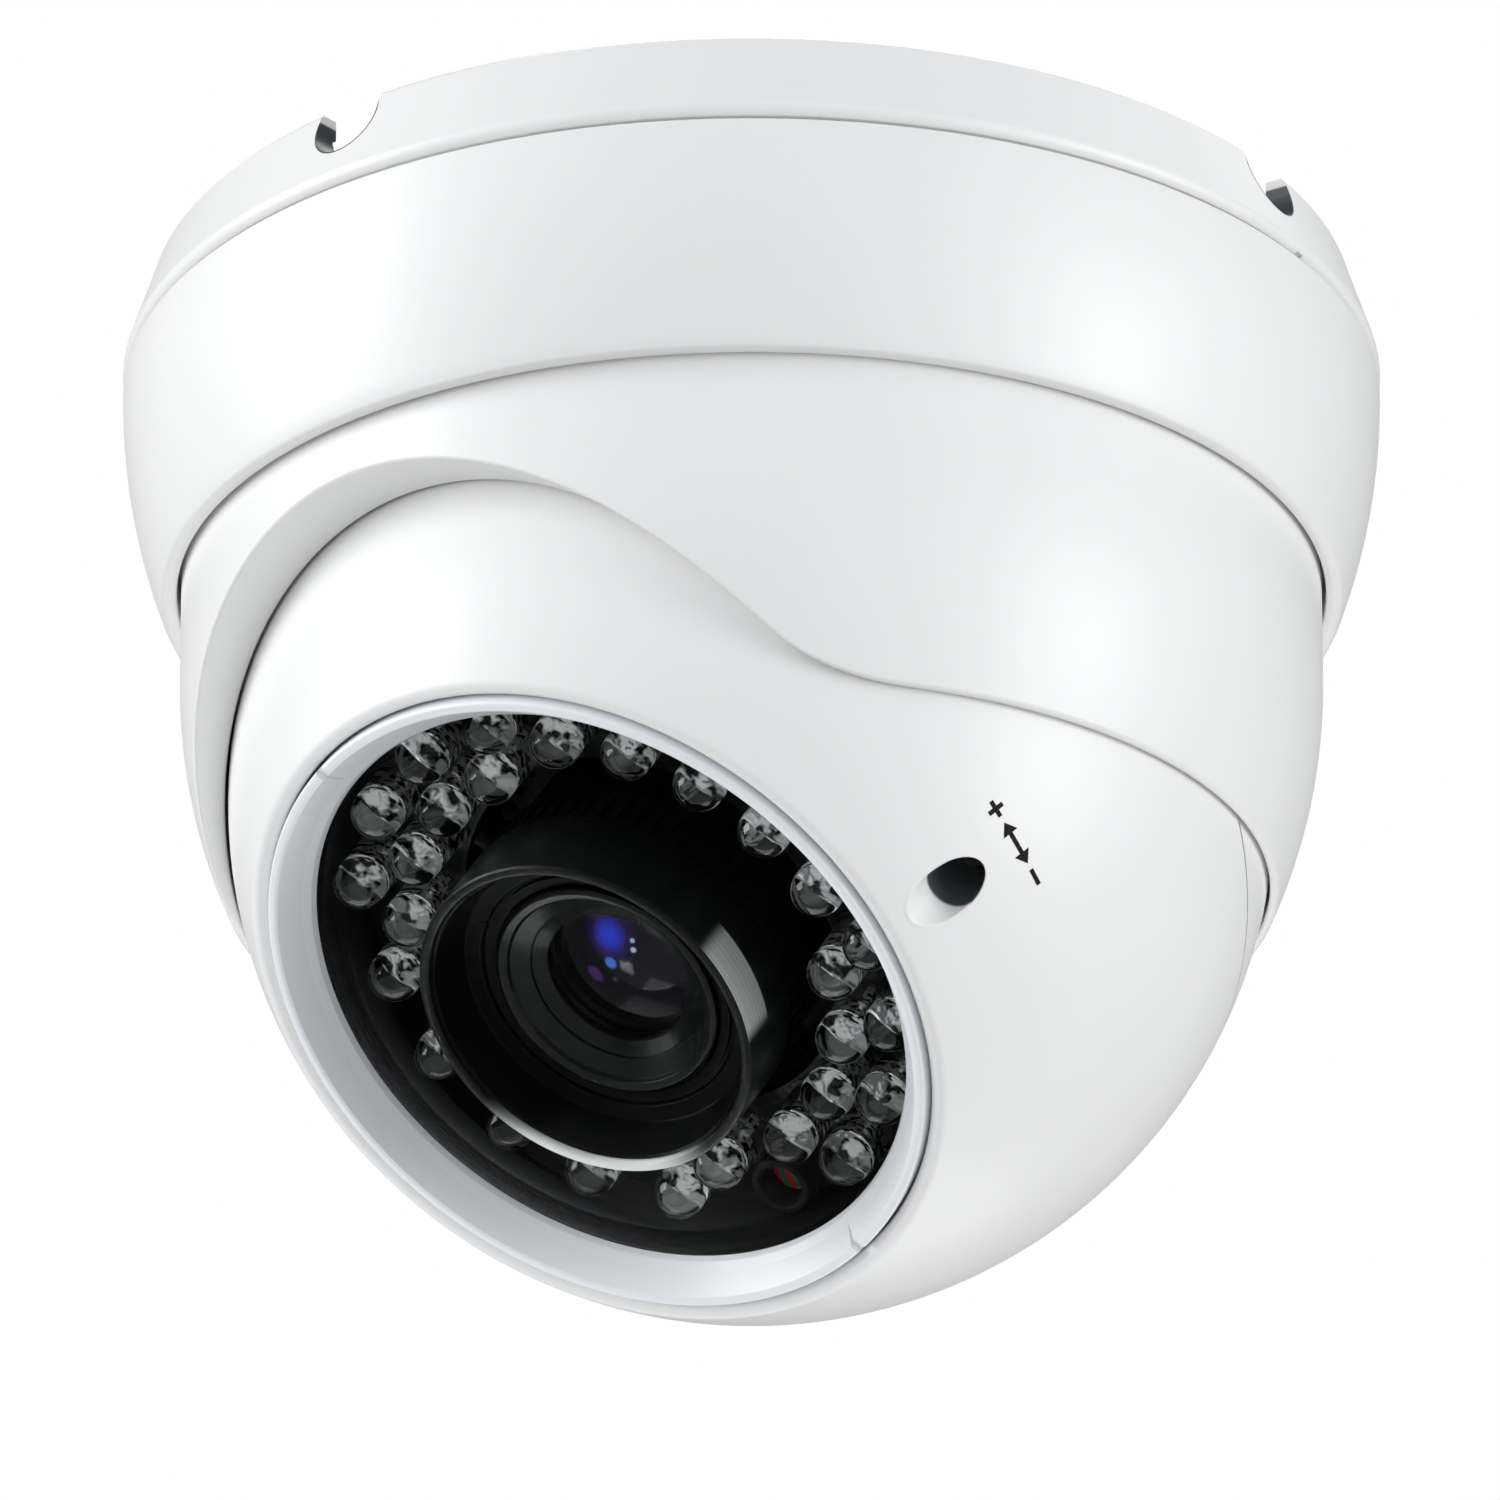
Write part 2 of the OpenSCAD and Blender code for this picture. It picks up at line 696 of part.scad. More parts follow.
module focus_ring() {
    ribs = 60;
    color("dimgray") in_head() difference() {
        union() {
            translate([0, 0, 11.5]) cylinder(r = 16.2, h = hood_foot - 11.5 - 0.05);
            translate([0, 0, focus_depth]) rotate([0, 0, side_turn(-1)])
                linear_extrude(gear_t) gear_outline(ring_teeth);
            translate([0, 0, 23.4]) cylinder(r = hood_r - 0.1, h = hood_foot - 23.45);
        }
        translate([0, 0, 10]) cylinder(r = barrel_r + fit, h = 30);
        for (i = [0 : ribs - 1]) at_turn(i * 360 / ribs, hood_r, 26) cube([1, 0.8, 3.6], center = true);
    }
}

module focus_lock_peg() {
    color("dimgray") in_head() at_turn(113, hood_r - 0.05, 25.8) rotate([0, 90, 0])
        cylinder(r = 0.9, h = 1.3, $fn = 32);
}

module front_barrel() {
    color("black") in_head() rotate_extrude() polygon([
        [9, hood_foot - 4], [12.9, hood_foot - 4], [12.9, hood_foot], [hood_r - 0.3, hood_foot],
        [hood_r, hood_foot + 0.3], [hood_r, hood_rim - 0.3], [hood_r - 0.25, hood_rim],
        [hood_r - 0.6, hood_rim], [15.6, 34.5], [14.6, 31.9], [11.5, 31.7], [11.5, 30.2],
        [glass_r + 0.05, 28.9], [glass_r + 0.05, 26.5], [glass_r - 0.6, 26.2], [glass_r - 0.6, 25.4],
        [9, 25.4]
    ]);
}

module element_retainer() {
    color("dimgray") in_head() rotate_extrude() polygon([
        [11.45, 30.3], [11.45, 32], [10.9, 32.2], [10.3, 32], [8.4, 30.8], [6.95, 29.5], [6.95, 29.1],
        [7.6, 29.1]
    ]);
}

// Biconvex element between two spheres
module element(r, depth, edge, front_bow, back_bow) {
    front_r = (r * r + front_bow * front_bow) / (2 * front_bow);
    back_r = (r * r + back_bow * back_bow) / (2 * back_bow);
    intersection() {
        translate([0, 0, depth - back_bow - 1]) cylinder(r = r, h = edge + front_bow + back_bow + 2);
        translate([0, 0, depth + edge + front_bow - front_r]) sphere(r = front_r);
        translate([0, 0, depth - back_bow + back_r]) sphere(r = back_r);
    }
}

module front_element() { color("midnightblue", 0.6) in_head() element(glass_r, 26.6, 2.1, 1.5, 0.5); }
module middle_element() { color("midnightblue", 0.6) in_head() element(8.9, 10, 2, 1.2, 1.2); }
module rear_element() { color("midnightblue", 0.6) in_head() element(5.3, -8.5, 1.6, 0.8, 0.8); }

module lens_mount() {
    color("black") in_head() difference() {
        union() {
            translate([0, 0, sensor_depth + 3]) cube([20, 20, 6], center = true);
            translate([0, 0, sensor_depth]) cylinder(r = 9, h = 8.2);
        }
        translate([0, 0, sensor_depth - 1]) cylinder(r = 6.95, h = 14);
    }
}

// ---------- electronics ----------

module at_pcb_holes(z) {
    for (x = [-1, 1]) for (y = [-1, 1]) translate([x * pcb_hole, y * pcb_hole, z]) children();
}

module image_sensor() {
    color("slategray") in_head() translate([0, 0, sensor_depth + 0.8]) cube([8, 7, 1.5], center = true);
}

module sensor_board() {
    color("darkgreen") in_head() difference() {
        translate([0, 0, sensor_depth - 0.85]) cube([pcb_side, pcb_side, pcb_t], center = true);
        at_pcb_holes(sensor_depth - 3) cylinder(r = pcb_hole_r, h = 4, $fn = 48);
    }
}

module board_standoffs() {
    color("goldenrod") in_head() at_pcb_holes(0) {
        difference() {
            translate([0, 0, sensor_depth + 0.02])
                cylinder(r = standoff_r, h = bracket_depth - sensor_depth - 0.04, $fn = 6);
            translate([0, 0, sensor_depth - 1]) cylinder(r = pcb_hole_r, h = 8, $fn = 48);
        }
        translate([0, 0, power_top]) cylinder(r = standoff_r, h = board_gap - 0.05, $fn = 6);
    }
}

module board_screws() {
    color("silver") in_head() at_pcb_holes(power_top - pcb_t - 0.1)
        rotate([180, 0, 0]) pan_screw(1.2, 1.6, 2.1, 1.3);
}

module power_board() {
    color("darkgreen") in_head() {
        translate([0, 0, power_top - 0.85]) difference() {
            cube([pcb_side, pcb_side, pcb_t], center = true);
            at_pcb_holes(-2) cylinder(r = pcb_hole_r, h = 4, $fn = 48);
        }
        translate([7, 4, power_top - 0.1]) cylinder(r = 3.2, h = 3.6, $fn = 48);
        translate([-7, 2, power_top + 0.6]) cube([9, 9, 1.4], center = true);
    }
}

module board_connector() {
    color("ivory") in_head() translate([0, -12, power_top + board_gap / 2 - 0.02])
        cube([12, 4, board_gap - 0.1], center = true);
}

// ---------- cable entry ----------

// Puts the gland's frame at the rear cap, +Z out of the ball
module in_cap() {
    in_head() rotate([cap_lean, 0, 0]) translate([0, 0, -cap_depth]) rotate([180, 0, 0]) children();
}

module cable_gland() {
    color("dimgray") in_cap() difference() {
        union() {
            translate([0, 0, -wall - 3.4]) cylinder(r = 6, h = wall + 3.4, $fn = 64);
            translate([0, 0, 0.05]) cylinder(r = 8.5, h = 2, $fn = 6);
            cylinder(r = 6, h = 5.4, $fn = 64);
        }
        translate([0, 0, -20]) cylinder(r = gland_bore_r, h = 40, $fn = 64);
    }
}

module gland_nut() {
    color("dimgray") in_cap() difference() {
        translate([0, 0, -wall - 0.95 - 2.2]) cylinder(r = 8.6, h = 2.2, $fn = 6);
        translate([0, 0, -20]) cylinder(r = 6.05, h = 40, $fn = 64);
    }
}

module gland_seal() {
    color("black") in_cap() tube(8, 6.1, 0.9, -wall - 0.93);
}

mounting_base();
base_gasket();
cable_grommet();
trim_ring();
pan_glide_washer();
pan_wave_spring();
pan_retaining_ring();
pan_stop_pin();
pan_collar();
collar_felt_ring();
tilt_pins();
tilt_washers();
front_shell();
rear_shell();
shell_o_ring();
shell_screws();
window_bezel();
window_dome();
window_gasket();
light_shroud();
led_board();
led_board_screws();
ir_leds();
photocell_tube();
photocell();
gear_bracket();
bracket_screws();
spindle_bushes();
idler_clips();
zoom_idler();
zoom_spindle();
focus_idler();
focus_spindle();
lens_barrel();
zoom_ring();
focus_ring();
focus_lock_peg();
front_barrel();
element_retainer();
front_element();
middle_element();
rear_element();
lens_mount();
image_sensor();
sensor_board();
board_standoffs();
board_screws();
power_board();
board_connector();
cable_gland();
gland_nut();
gland_seal();
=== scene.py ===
import json
import math

import bmesh
import bpy
import numpy as np
from mathutils import Matrix, Vector


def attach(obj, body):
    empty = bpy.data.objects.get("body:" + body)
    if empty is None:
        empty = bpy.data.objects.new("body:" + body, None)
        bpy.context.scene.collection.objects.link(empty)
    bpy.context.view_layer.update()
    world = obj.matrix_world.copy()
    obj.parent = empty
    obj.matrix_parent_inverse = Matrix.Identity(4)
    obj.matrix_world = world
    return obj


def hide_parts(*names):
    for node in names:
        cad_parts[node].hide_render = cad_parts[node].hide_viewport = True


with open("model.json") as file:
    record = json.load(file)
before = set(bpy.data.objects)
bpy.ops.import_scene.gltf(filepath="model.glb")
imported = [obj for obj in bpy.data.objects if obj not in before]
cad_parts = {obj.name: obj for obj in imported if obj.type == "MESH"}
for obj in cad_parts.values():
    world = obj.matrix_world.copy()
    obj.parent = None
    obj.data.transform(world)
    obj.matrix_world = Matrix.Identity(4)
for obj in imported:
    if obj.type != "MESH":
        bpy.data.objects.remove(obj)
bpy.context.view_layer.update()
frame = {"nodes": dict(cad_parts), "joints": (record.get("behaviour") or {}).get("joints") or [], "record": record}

bl_info = {
    "name": "Dome security camera",
    "version": (1, 0, 0),
    "blender": (4, 5, 0),
    "location": "View3D > Sidebar > Dome camera",
    "description": "Builds the painted housing, window, lights and lens of a ceiling dome camera",
    "category": "Add Mesh",
}

MM = 0.001
TAU = 2 * math.pi
JOINTS = {joint["name"]: joint for joint in frame["joints"]}

# The ball's centre and the optical axis, from the joints of the frame
BALL = np.array(JOINTS["tilt_turn"]["pos_m"]) / MM
DEPTH_AXIS = np.array(JOINTS["zoom_ring_turn"]["axis"])
SIDE_AXIS = np.array([1.0, 0.0, 0.0])
UP_AXIS = np.cross(DEPTH_AXIS, SIDE_AXIS)

# Places shared by several pieces, in millimetres and degrees
ACCESS_PLACE = np.array([39.0, -4.2])
ACCESS_R = 2.4
WINDOW_CENTRE = -4.73
LED_TURN = 34.0
LED_FOOT = 21.62

# Where painted shade darkens the bores: the depth along the optical axis below which the access holes are shaded
# dark, and round the axes of the base's notches, which lie this far from its centre
ACCESS_SHADE_DEPTH = 28.6
NOTCH_Z, NOTCH_R, NOTCH_INNER_R = -1.9, 3.8, 52.5
NOTCH_TURNS = np.radians([3.6 - 90, 101.7 - 90])
# Colour of the painted shade on the notch walls and in the access holes
PAINTED_SHADE_TONE = (0.06, 0.075, 0.08)

# Painted highlights on the hood, fixed in place on it: span of turn, span of depth, how softly it ends, and
# brightness
HOOD_PAINTED_HIGHLIGHTS = [((-24, 3), (32.6, 36.5), 6, 0.62), ((-140, -105), (36.0, 37.0), 28, 1.0)]

# Painted reflections and highlights inside the lens: place in the window's frame, radius and colour
LENS_PAINTED_REFLECTIONS = (
    ((-0.8, 6.1, 25.4), 1.9, (0.09, 0.04, 0.11)), ((-4.4, 0.0, 26.2), 1.1, (0.16, 0.06, 0.26)),
    ((-1.7, 0.6, 26.7), 0.75, (0.12, 0.35, 1.0)), ((1.3, 0.9, 26.7), 0.35, (0.75, 0.95, 1.0)),
    ((1.7, 1.7, 26.6), 0.3, (0.7, 0.9, 1.0)),
)

# The stage, in metres: each lamp's name, its place sideways, upwards and towards the camera from the target, its
# size and its share of the key light's power
FLOOR_HALF, FLOOR_Z = 6.0, -2.6
LAMPS = (
    ("left_lamp", (-1.0, 0.3, 0.05), (0.6, 0.7), 1.2),
    ("right_lamp", (0.92, 0.1, 0.4), (0.45, 0.55), 0.7),
    ("low_lamp", (0, -1.15, -0.4), (1.4, 1.0), 1.15),
    ("back_lamp", (0.2, 0.6, -0.8), (0.7, 0.6), 0.75),
    ("spark_lamp", (-0.61, -0.79, 0.05), (0.03, 0.03), 0.02),
)
TARGET = Vector((1.4185, -1.6536, -47.45)) * MM
CAMERA_DISTANCE = 1594.36 * MM
CAMERA_LENS = 406.214


# ---------- placing and building ----------


def in_row(points):
    """Millimetres of the row frame to metres."""
    return np.asarray(points, float) * MM


def in_window(points):
    """The window's frame to the row frame: side, up and depth are the first, second and third numbers."""
    p = np.asarray(points, float)
    placed = BALL + p[..., :1] * SIDE_AXIS + p[..., 1:2] * UP_AXIS + p[..., 2:] * DEPTH_AXIS
    return placed * MM


def rounded(points, radii, steps=5):
    """A polyline whose corners become arcs: each arc touches both of its corner's legs at radius / tan(half the
    corner's angle) from the corner, and its points are a quadratic blend of those two places through the corner."""
    pts = [np.array(p, float) for p in points]
    out = [pts[0]]
    for before, here, after, radius in zip(pts, pts[1:], pts[2:], radii):
        if radius <= 0:
            out.append(here)
            continue
        a, b = before - here, after - here
        la, lb = np.linalg.norm(a), np.linalg.norm(b)
        a, b = a / la, b / lb
        half = 0.5 * math.acos(max(-1.0, min(1.0, float(a @ b))))
        reach = min(radius / math.tan(half), 0.49 * la, 0.49 * lb)
        centre = here + (a + b) / np.linalg.norm(a + b) * reach / math.cos(half)
        start, end = here + a * reach - centre, here + b * reach - centre
        t = np.linspace(0, 1, steps + 1)[:, None]
        blend = start * (1 - t) + end * t
        blend *= np.linalg.norm(start) / np.linalg.norm(blend, axis=1, keepdims=True)
        out.extend(centre + blend)
    out.append(pts[-1])
    return np.array(out)


def arc(centre_r, centre_z, radius, start, end, steps):
    """Points of a circle's arc in the profile plane, from one angle to another in degrees."""
    a = np.radians(np.linspace(start, end, steps + 1))
    return np.stack([centre_r + radius * np.cos(a), centre_z + radius * np.sin(a)], axis=1)


def quads(columns, rows, wrap_columns, wrap_rows, keep=None, first=0):
    """Corner indices of the cells of a grid whose vertices run row by row within each column."""
    i = np.arange(columns if wrap_columns else columns - 1)
    j = np.arange(rows if wrap_rows else rows - 1)
    i, j = np.meshgrid(i, j, indexing="ij")
    i2, j2 = (i + 1) % columns, (j + 1) % rows
    cells = np.stack([i * rows + j, i2 * rows + j, i2 * rows + j2, i * rows + j2], axis=-1)
    cells = cells.reshape(-1, 4) if keep is None else cells[keep]
    return cells + first


def make_piece(name, points, faces, sharp=35):
    """A mesh object from vertices in metres and faces, with doubles merged and its faces turned outwards."""
    mesh = bpy.data.meshes.new(name)
    mesh.from_pydata(np.asarray(points).reshape(-1, 3).tolist(), [], np.asarray(faces).tolist())
    shape = bmesh.new()
    shape.from_mesh(mesh)
    bmesh.ops.remove_doubles(shape, verts=shape.verts, dist=1e-7)
    bmesh.ops.dissolve_degenerate(shape, edges=shape.edges, dist=1e-7)
    bmesh.ops.recalc_face_normals(shape, faces=shape.faces)
    shape.to_mesh(mesh)
    shape.free()
    mesh.shade_smooth()
    mesh.set_sharp_from_angle(angle=math.radians(sharp))
    piece = bpy.data.objects.new(name, mesh)
    bpy.context.scene.collection.objects.link(piece)
    return piece


def revolved(profile, count, wrap_rows=True, place=in_window):
    """Vertices and faces of a profile (radius, height) carried round its axis: the point at a turn is
    (radius * cos turn, radius * sin turn, height)."""
    turn = np.arange(count) / count * TAU
    r, z = np.asarray(profile, float).T
    grid = np.stack([np.outer(np.cos(turn), r), np.outer(np.sin(turn), r), np.tile(z, (count, 1))], axis=-1)
    return place(grid).reshape(-1, 3), quads(count, len(r), True, wrap_rows)


def joined(parts):
    """Several (vertices, faces) pairs as one."""
    points, faces, first = [], [], 0
    for p, f in parts:
        points.append(np.asarray(p).reshape(-1, 3))
        faces.extend((np.asarray(f) + first).tolist())
        first += len(points[-1])
    return np.concatenate(points), faces


def soften(piece, width, segments=3, angle=32):
    """A narrow rounding along every sharp edge."""
    bevel = piece.modifiers.new("soft_edges", "BEVEL")
    bevel.width = width * MM
    bevel.segments = segments
    bevel.limit_method = "ANGLE"
    bevel.angle_limit = math.radians(angle)
    bevel.harden_normals = True


def settle(piece, body, material, replaces=()):
    """Gives a piece its material, its body and the CAD nodes that it stands for."""
    piece.data.materials.clear()
    piece.data.materials.append(material)
    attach(piece, body)
    if replaces:
        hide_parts(*replaces)


def add_node(tree, kind, sockets=(), **settings):
    """A new node with its settings and its sockets' values. A value that is another node's output is linked."""
    node = tree.nodes.new(kind)
    for key, value in settings.items():
        setattr(node, key, value)
    for key, value in dict(sockets).items():
        if isinstance(value, bpy.types.NodeSocket):
            tree.links.new(value, node.inputs[key])
        else:
            node.inputs[key].default_value = value
    return node


# ---------- materials ----------


class Finish:
    """A material with one Principled shader, and short ways to add its pattern."""

    def __init__(self, name):
        self.material = bpy.data.materials.new(name)
        self.material.use_nodes = True
        self.tree = self.material.node_tree
        self.shader = self.tree.nodes["Principled BSDF"]
        self.place = self.add("ShaderNodeTexCoord").outputs["Object"]

    def add(self, kind, sockets=(), **settings):
        """A new node in this material."""
        return add_node(self.tree, kind, sockets, **settings)

    def set(self, **values):
        """Values of the shader's own sockets, with _ for the spaces in their names."""
        for key, value in values.items():
            self.shader.inputs[key.replace("_", " ")].default_value = value

    def look(self, colour=None, roughness=None, normal=None):
        """Links patterns to the shader."""
        for key, source in (("Base Color", colour), ("Roughness", roughness), ("Normal", normal)):
            if source is not None:
                self.tree.links.new(source, self.shader.inputs[key])

    def noise(self, scale, detail=2.0, roughness=0.5, stretch=None):
        """Noise on Object coordinates; scale is in cycles per metre."""
        source = self.place
        if stretch:
            source = self.add("ShaderNodeMapping", {"Vector": source, "Scale": stretch}).outputs["Vector"]
        return self.add("ShaderNodeTexNoise", {"Scale": scale, "Detail": detail, "Roughness": roughness,
                                               "Vector": source}).outputs["Fac"]

    def ramp(self, source, *stops):
        """Colour that passes through the stops, each a position and a colour, as source runs from 0 to 1."""
        node = self.add("ShaderNodeValToRGB", {"Fac": source})
        ends = node.color_ramp.elements
        middle = [ends.new(position) for position, _ in stops[1:-1]]
        for element, (position, colour) in zip((ends[0], *middle, ends[-1]), stops):
            element.position = position
            element.color = (*colour, 1)
        return node.outputs["Color"]

    def stain(self, source, tone, dark, start=0.3, end=0.7):
        """The tone, darkened by the given share where source is low."""
        return self.ramp(source, (start, [c * dark for c in tone]), (end, tone))

    def spread(self, source, low, high):
        """A number that runs from low to high as source runs from 0 to 1."""
        return self.add("ShaderNodeMapRange", {"Value": source, "To Min": low, "To Max": high}).outputs["Result"]

    def step(self, source, start, end, kind="SMOOTHSTEP"):
        """Runs smoothly from 0 to 1 as source runs from start to end."""
        rising = start < end
        return self.add("ShaderNodeMapRange", {
            "Value": source, "From Min": min(start, end), "From Max": max(start, end),
            "To Min": 0 if rising else 1, "To Max": 1 if rising else 0}, interpolation_type=kind).outputs["Result"]

    def combine(self, operation, a, b):
        """Two numbers, or patterns of numbers, as one."""
        return self.add("ShaderNodeMath", {0: a, 1: b}, operation=operation).outputs["Value"]

    def vector(self, operation, fixed=(0, 0, 0), source=None, output="Vector"):
        """Object coordinates, or source, worked on with a fixed vector."""
        sockets = {0: source or self.place, 1: fixed}
        return self.add("ShaderNodeVectorMath", sockets, operation=operation).outputs[output]

    def along(self, axis):
        """Distance from the ball's centre along an axis, in millimetres."""
        offset = self.vector("SUBTRACT", in_row(BALL))
        return self.vector("DOT_PRODUCT", [c / MM for c in axis], offset, "Value")

    def off_line(self, point, axis):
        """Distance from the line through a point along an axis, in metres."""
        cross = self.vector("CROSS_PRODUCT", axis, self.vector("SUBTRACT", point))
        return self.vector("LENGTH", source=cross, output="Value")

    def off_point(self, point):
        """Distance from a point in the window's frame, in metres."""
        return self.vector("DISTANCE", in_window(point), output="Value")

    def cover(self, under, share, colour):
        """A colour laid over another, as far as share says."""
        # In a colour Mix node, sockets 6 and 7 are the colours and output 2 is the mixed one
        return self.add("ShaderNodeMix", {"Factor": share, 6: under, 7: (*colour, 1)}, data_type="RGBA").outputs[2]

    def facing_window(self, scale=(1, 1, 1), twist=0.0):
        """Object coordinates turned so that Z is the optical axis."""
        lean = math.atan2(-DEPTH_AXIS[1], DEPTH_AXIS[2])
        return self.add("ShaderNodeMapping", {"Vector": self.place, "Rotation": (lean, 0, twist),
                                              "Scale": scale}).outputs["Vector"]

    def bump(self, source, height, strength=1.0, under=None):
        """Relief of the given height in millimetres, on top of another relief if one is given."""
        sockets = {"Distance": height * MM, "Strength": strength, "Height": source}
        if under:
            sockets["Normal"] = under
        return self.add("ShaderNodeBump", sockets).outputs["Normal"]

    def open_to_lamps(self, tint):
        """Lets light through to what is behind the glass."""
        clear = self.add("ShaderNodeBsdfTransparent", {"Color": (*tint, 1)})
        path = self.add("ShaderNodeLightPath")
        mix = self.add("ShaderNodeMixShader", {"Fac": path.outputs["Is Shadow Ray"], 1: self.shader.outputs["BSDF"],
                                               2: clear.outputs["BSDF"]})
        self.tree.links.new(mix.outputs["Shader"], self.tree.nodes["Material Output"].inputs["Surface"])


def satin_paint(name, tone, peel=0.02, roughness=(0.36, 0.46), shaded_bores=()):
    """Powder coat: orange peel about a millimetre across, finer grain on it, and faint mottling. Bores are places
    darkened with painted shade: each a point, an axis, a radius, and how far along the axis from the ball the
    painted shade reaches, or None for a notch, which lies outside the base's bore."""
    f = Finish(name)
    shade = f.stain(f.noise(18, 3), tone, 0.965, 0.35, 0.65)
    for point, axis, radius, start in shaded_bores:
        inside = f.step(f.off_line(point, axis), (radius + 0.08) * MM, radius * MM)
        if start is None:
            reach = f.step(f.off_line((0, 0, 0), (0, 0, 1)), (NOTCH_INNER_R - 0.1) * MM, NOTCH_INNER_R * MM)
        else:
            reach = f.step(f.along(axis), start, start - 0.5)
        # Painted shade: the notch walls and the deep part of each access hole take a dark grey
        shade = f.cover(shade, f.combine("MULTIPLY", inside, reach), PAINTED_SHADE_TONE)
    grain = f.noise(2600, 2)
    f.look(shade, f.spread(grain, *roughness), f.bump(grain, 0.006, 0.5, f.bump(f.noise(850, 1), peel, 0.5)))
    f.set(Coat_Weight=0.12, Coat_Roughness=0.25, IOR=1.5)
    return f.material


def moulded_plastic(name, tone, roughness=(0.42, 0.55), gloss=0.5):
    """Moulded plastic: a fine spark-eroded grain and small changes of gloss."""
    f = Finish(name)
    f.look(f.stain(f.noise(60, 3), tone, 0.85), f.spread(f.noise(90, 3), *roughness),
           f.bump(f.noise(1800, 2), 0.01, 0.5))
    f.set(Specular_IOR_Level=gloss)
    return f.material


def turned_metal(name, tone, roughness, metallic=1.0, rings=2600.0, gloss=0.5, coat=0.0):
    """Metal turned on a lathe: fine rings along the optical axis, with gloss that changes from ring to ring."""
    f = Finish(name)
    ring = f.add("ShaderNodeTexNoise", {"Scale": rings, "Detail": 3,
                                        "Vector": f.facing_window((0.02, 0.02, 1))}).outputs["Fac"]
    f.look(f.stain(ring, tone, 0.7), f.spread(ring, *roughness), f.bump(ring, 0.004, 0.6))
    f.set(Metallic=metallic, Specular_IOR_Level=gloss, Coat_Weight=coat, Coat_Roughness=0.04)
    return f.material


def anodising_painted_highlights(name, patches):
    """Black anodising turned in fine rings, with painted highlights in patches. Each patch is a span of turn round
    the optical axis and one of depth along it, in degrees and millimetres, how softly it ends in turn, and its
    brightness."""
    f = Finish(name)
    depth, turn = f.along(DEPTH_AXIS), f.combine("ARCTAN2", f.along(UP_AXIS), f.along(SIDE_AXIS))
    rings = f.add("ShaderNodeTexNoise", {"Scale": 5, "Detail": 3, "W": depth}, noise_dimensions="1D").outputs["Fac"]
    highlight_share = 0.0
    for turns, depths, soft, bright in patches:
        low, high, soft = [math.radians(v) for v in (*turns, soft)]
        patch = f.step(turn, low - soft, low)
        for edge in (f.step(turn, high + soft, high), f.step(depth, depths[0] - 0.25, depths[0]),
                     f.step(depth, depths[1] + 0.05, depths[1]), bright):
            patch = f.combine("MULTIPLY", patch, edge)
        highlight_share = f.combine("MAXIMUM", highlight_share, patch)
    # Painted highlights: each patch, broken by the turned rings, lightens the black towards grey
    ringed_highlight = f.combine("MULTIPLY", highlight_share, f.spread(rings, 0.45, 1.25))
    f.look(f.ramp(ringed_highlight, (0, (0.003, 0.0035, 0.0032)), (1, (0.85, 0.87, 0.86))), f.spread(rings, 0.25, 0.4),
           f.bump(rings, 0.01, 0.6))
    f.set(Specular_IOR_Level=0.2)
    return f.material


def silvered_frame(name):
    """An LED's stamped cup and posts: bright plating with black flecks half a millimetre across."""
    f = Finish(name)
    flecks = f.noise(1900, 2)
    f.look(f.ramp(flecks, (0.42, (0.012, 0.012, 0.012)), (0.52, (1, 1, 1))), f.spread(f.noise(900, 2), 0.08, 0.3),
           f.bump(flecks, 0.25, 1.0))
    f.set(Metallic=0.55)
    return f.material


def plated_steel(name, tone, roughness=(0.22, 0.36)):
    """Plated metal: small crystals in the gloss, a faint stain, and fine dents."""
    f = Finish(name)
    f.look(f.stain(f.noise(140, 4), tone, 0.8), f.spread(f.noise(900, 3), *roughness),
           f.bump(f.noise(1500, 2), 0.006, 0.4))
    f.set(Metallic=1.0)
    return f.material


def circuit_board(name, mask, track):
    """Solder mask over copper: straight tracks stand up a little and show a shade lighter."""
    f = Finish(name)
    tracks = f.add("ShaderNodeTexBrick", {
        "Scale": 220, "Mortar Size": 0.06, "Color1": (*mask, 1), "Color2": (*[c * 0.8 for c in mask], 1),
        "Mortar": (*track, 1), "Vector": f.facing_window()})
    f.look(tracks.outputs["Color"], f.spread(f.noise(400, 2), 0.28, 0.4), f.bump(tracks.outputs["Fac"], 0.03, 0.5))
    f.set(Specular_IOR_Level=0.25)
    return f.material


def clear_glass(name, tint, ior, gleam, through=(0.96, 0.96, 0.96)):
    """Clear plastic or glass with the faintest waviness, open to lamps. Gleam scales its reflections."""
    f = Finish(name)
    f.set(Base_Color=(*tint, 1), Transmission_Weight=1.0, IOR=ior, Roughness=0.0,
          Specular_Tint=(gleam, gleam, gleam, 1))
    f.look(normal=f.bump(f.noise(35, 1), 0.004, 0.4))
    f.open_to_lamps(through)
    return f.material


def lens_core_painted_reflections(name, deep, reflection_tones, place, spread, spots):
    """The dark inside of a lens: black, with painted reflections in the coatings' colours round a place given in
    the window's frame, in millimetres, and a clear coat over them. Spots are smaller painted reflections and
    highlights: a place, a radius and a colour."""
    f = Finish(name)
    near = f.step(f.off_point(place), spread * MM, 0, "SMOOTHERSTEP")
    colour = f.ramp(near, (0, deep), (0.5, reflection_tones[0]), (1, reflection_tones[1]))
    for centre, radius, tint in spots:
        # Painted reflection or highlight: each spot covers the colour with its own
        colour = f.cover(colour, f.step(f.off_point(centre), radius * MM, radius * 0.5 * MM), tint)
    f.look(colour, f.spread(f.noise(200, 2), 0.02, 0.05))
    f.set(IOR=1.12, Coat_Weight=0.25, Coat_Roughness=0.02)
    return f.material


def rubber(name, tone=(0.018, 0.018, 0.019)):
    """Matt moulded rubber with a coarse grain."""
    f = Finish(name)
    f.look(f.stain(f.noise(120, 3), tone, 0.7), f.spread(f.noise(500, 2), 0.6, 0.78),
           f.bump(f.noise(1400, 3), 0.02, 0.5))
    return f.material


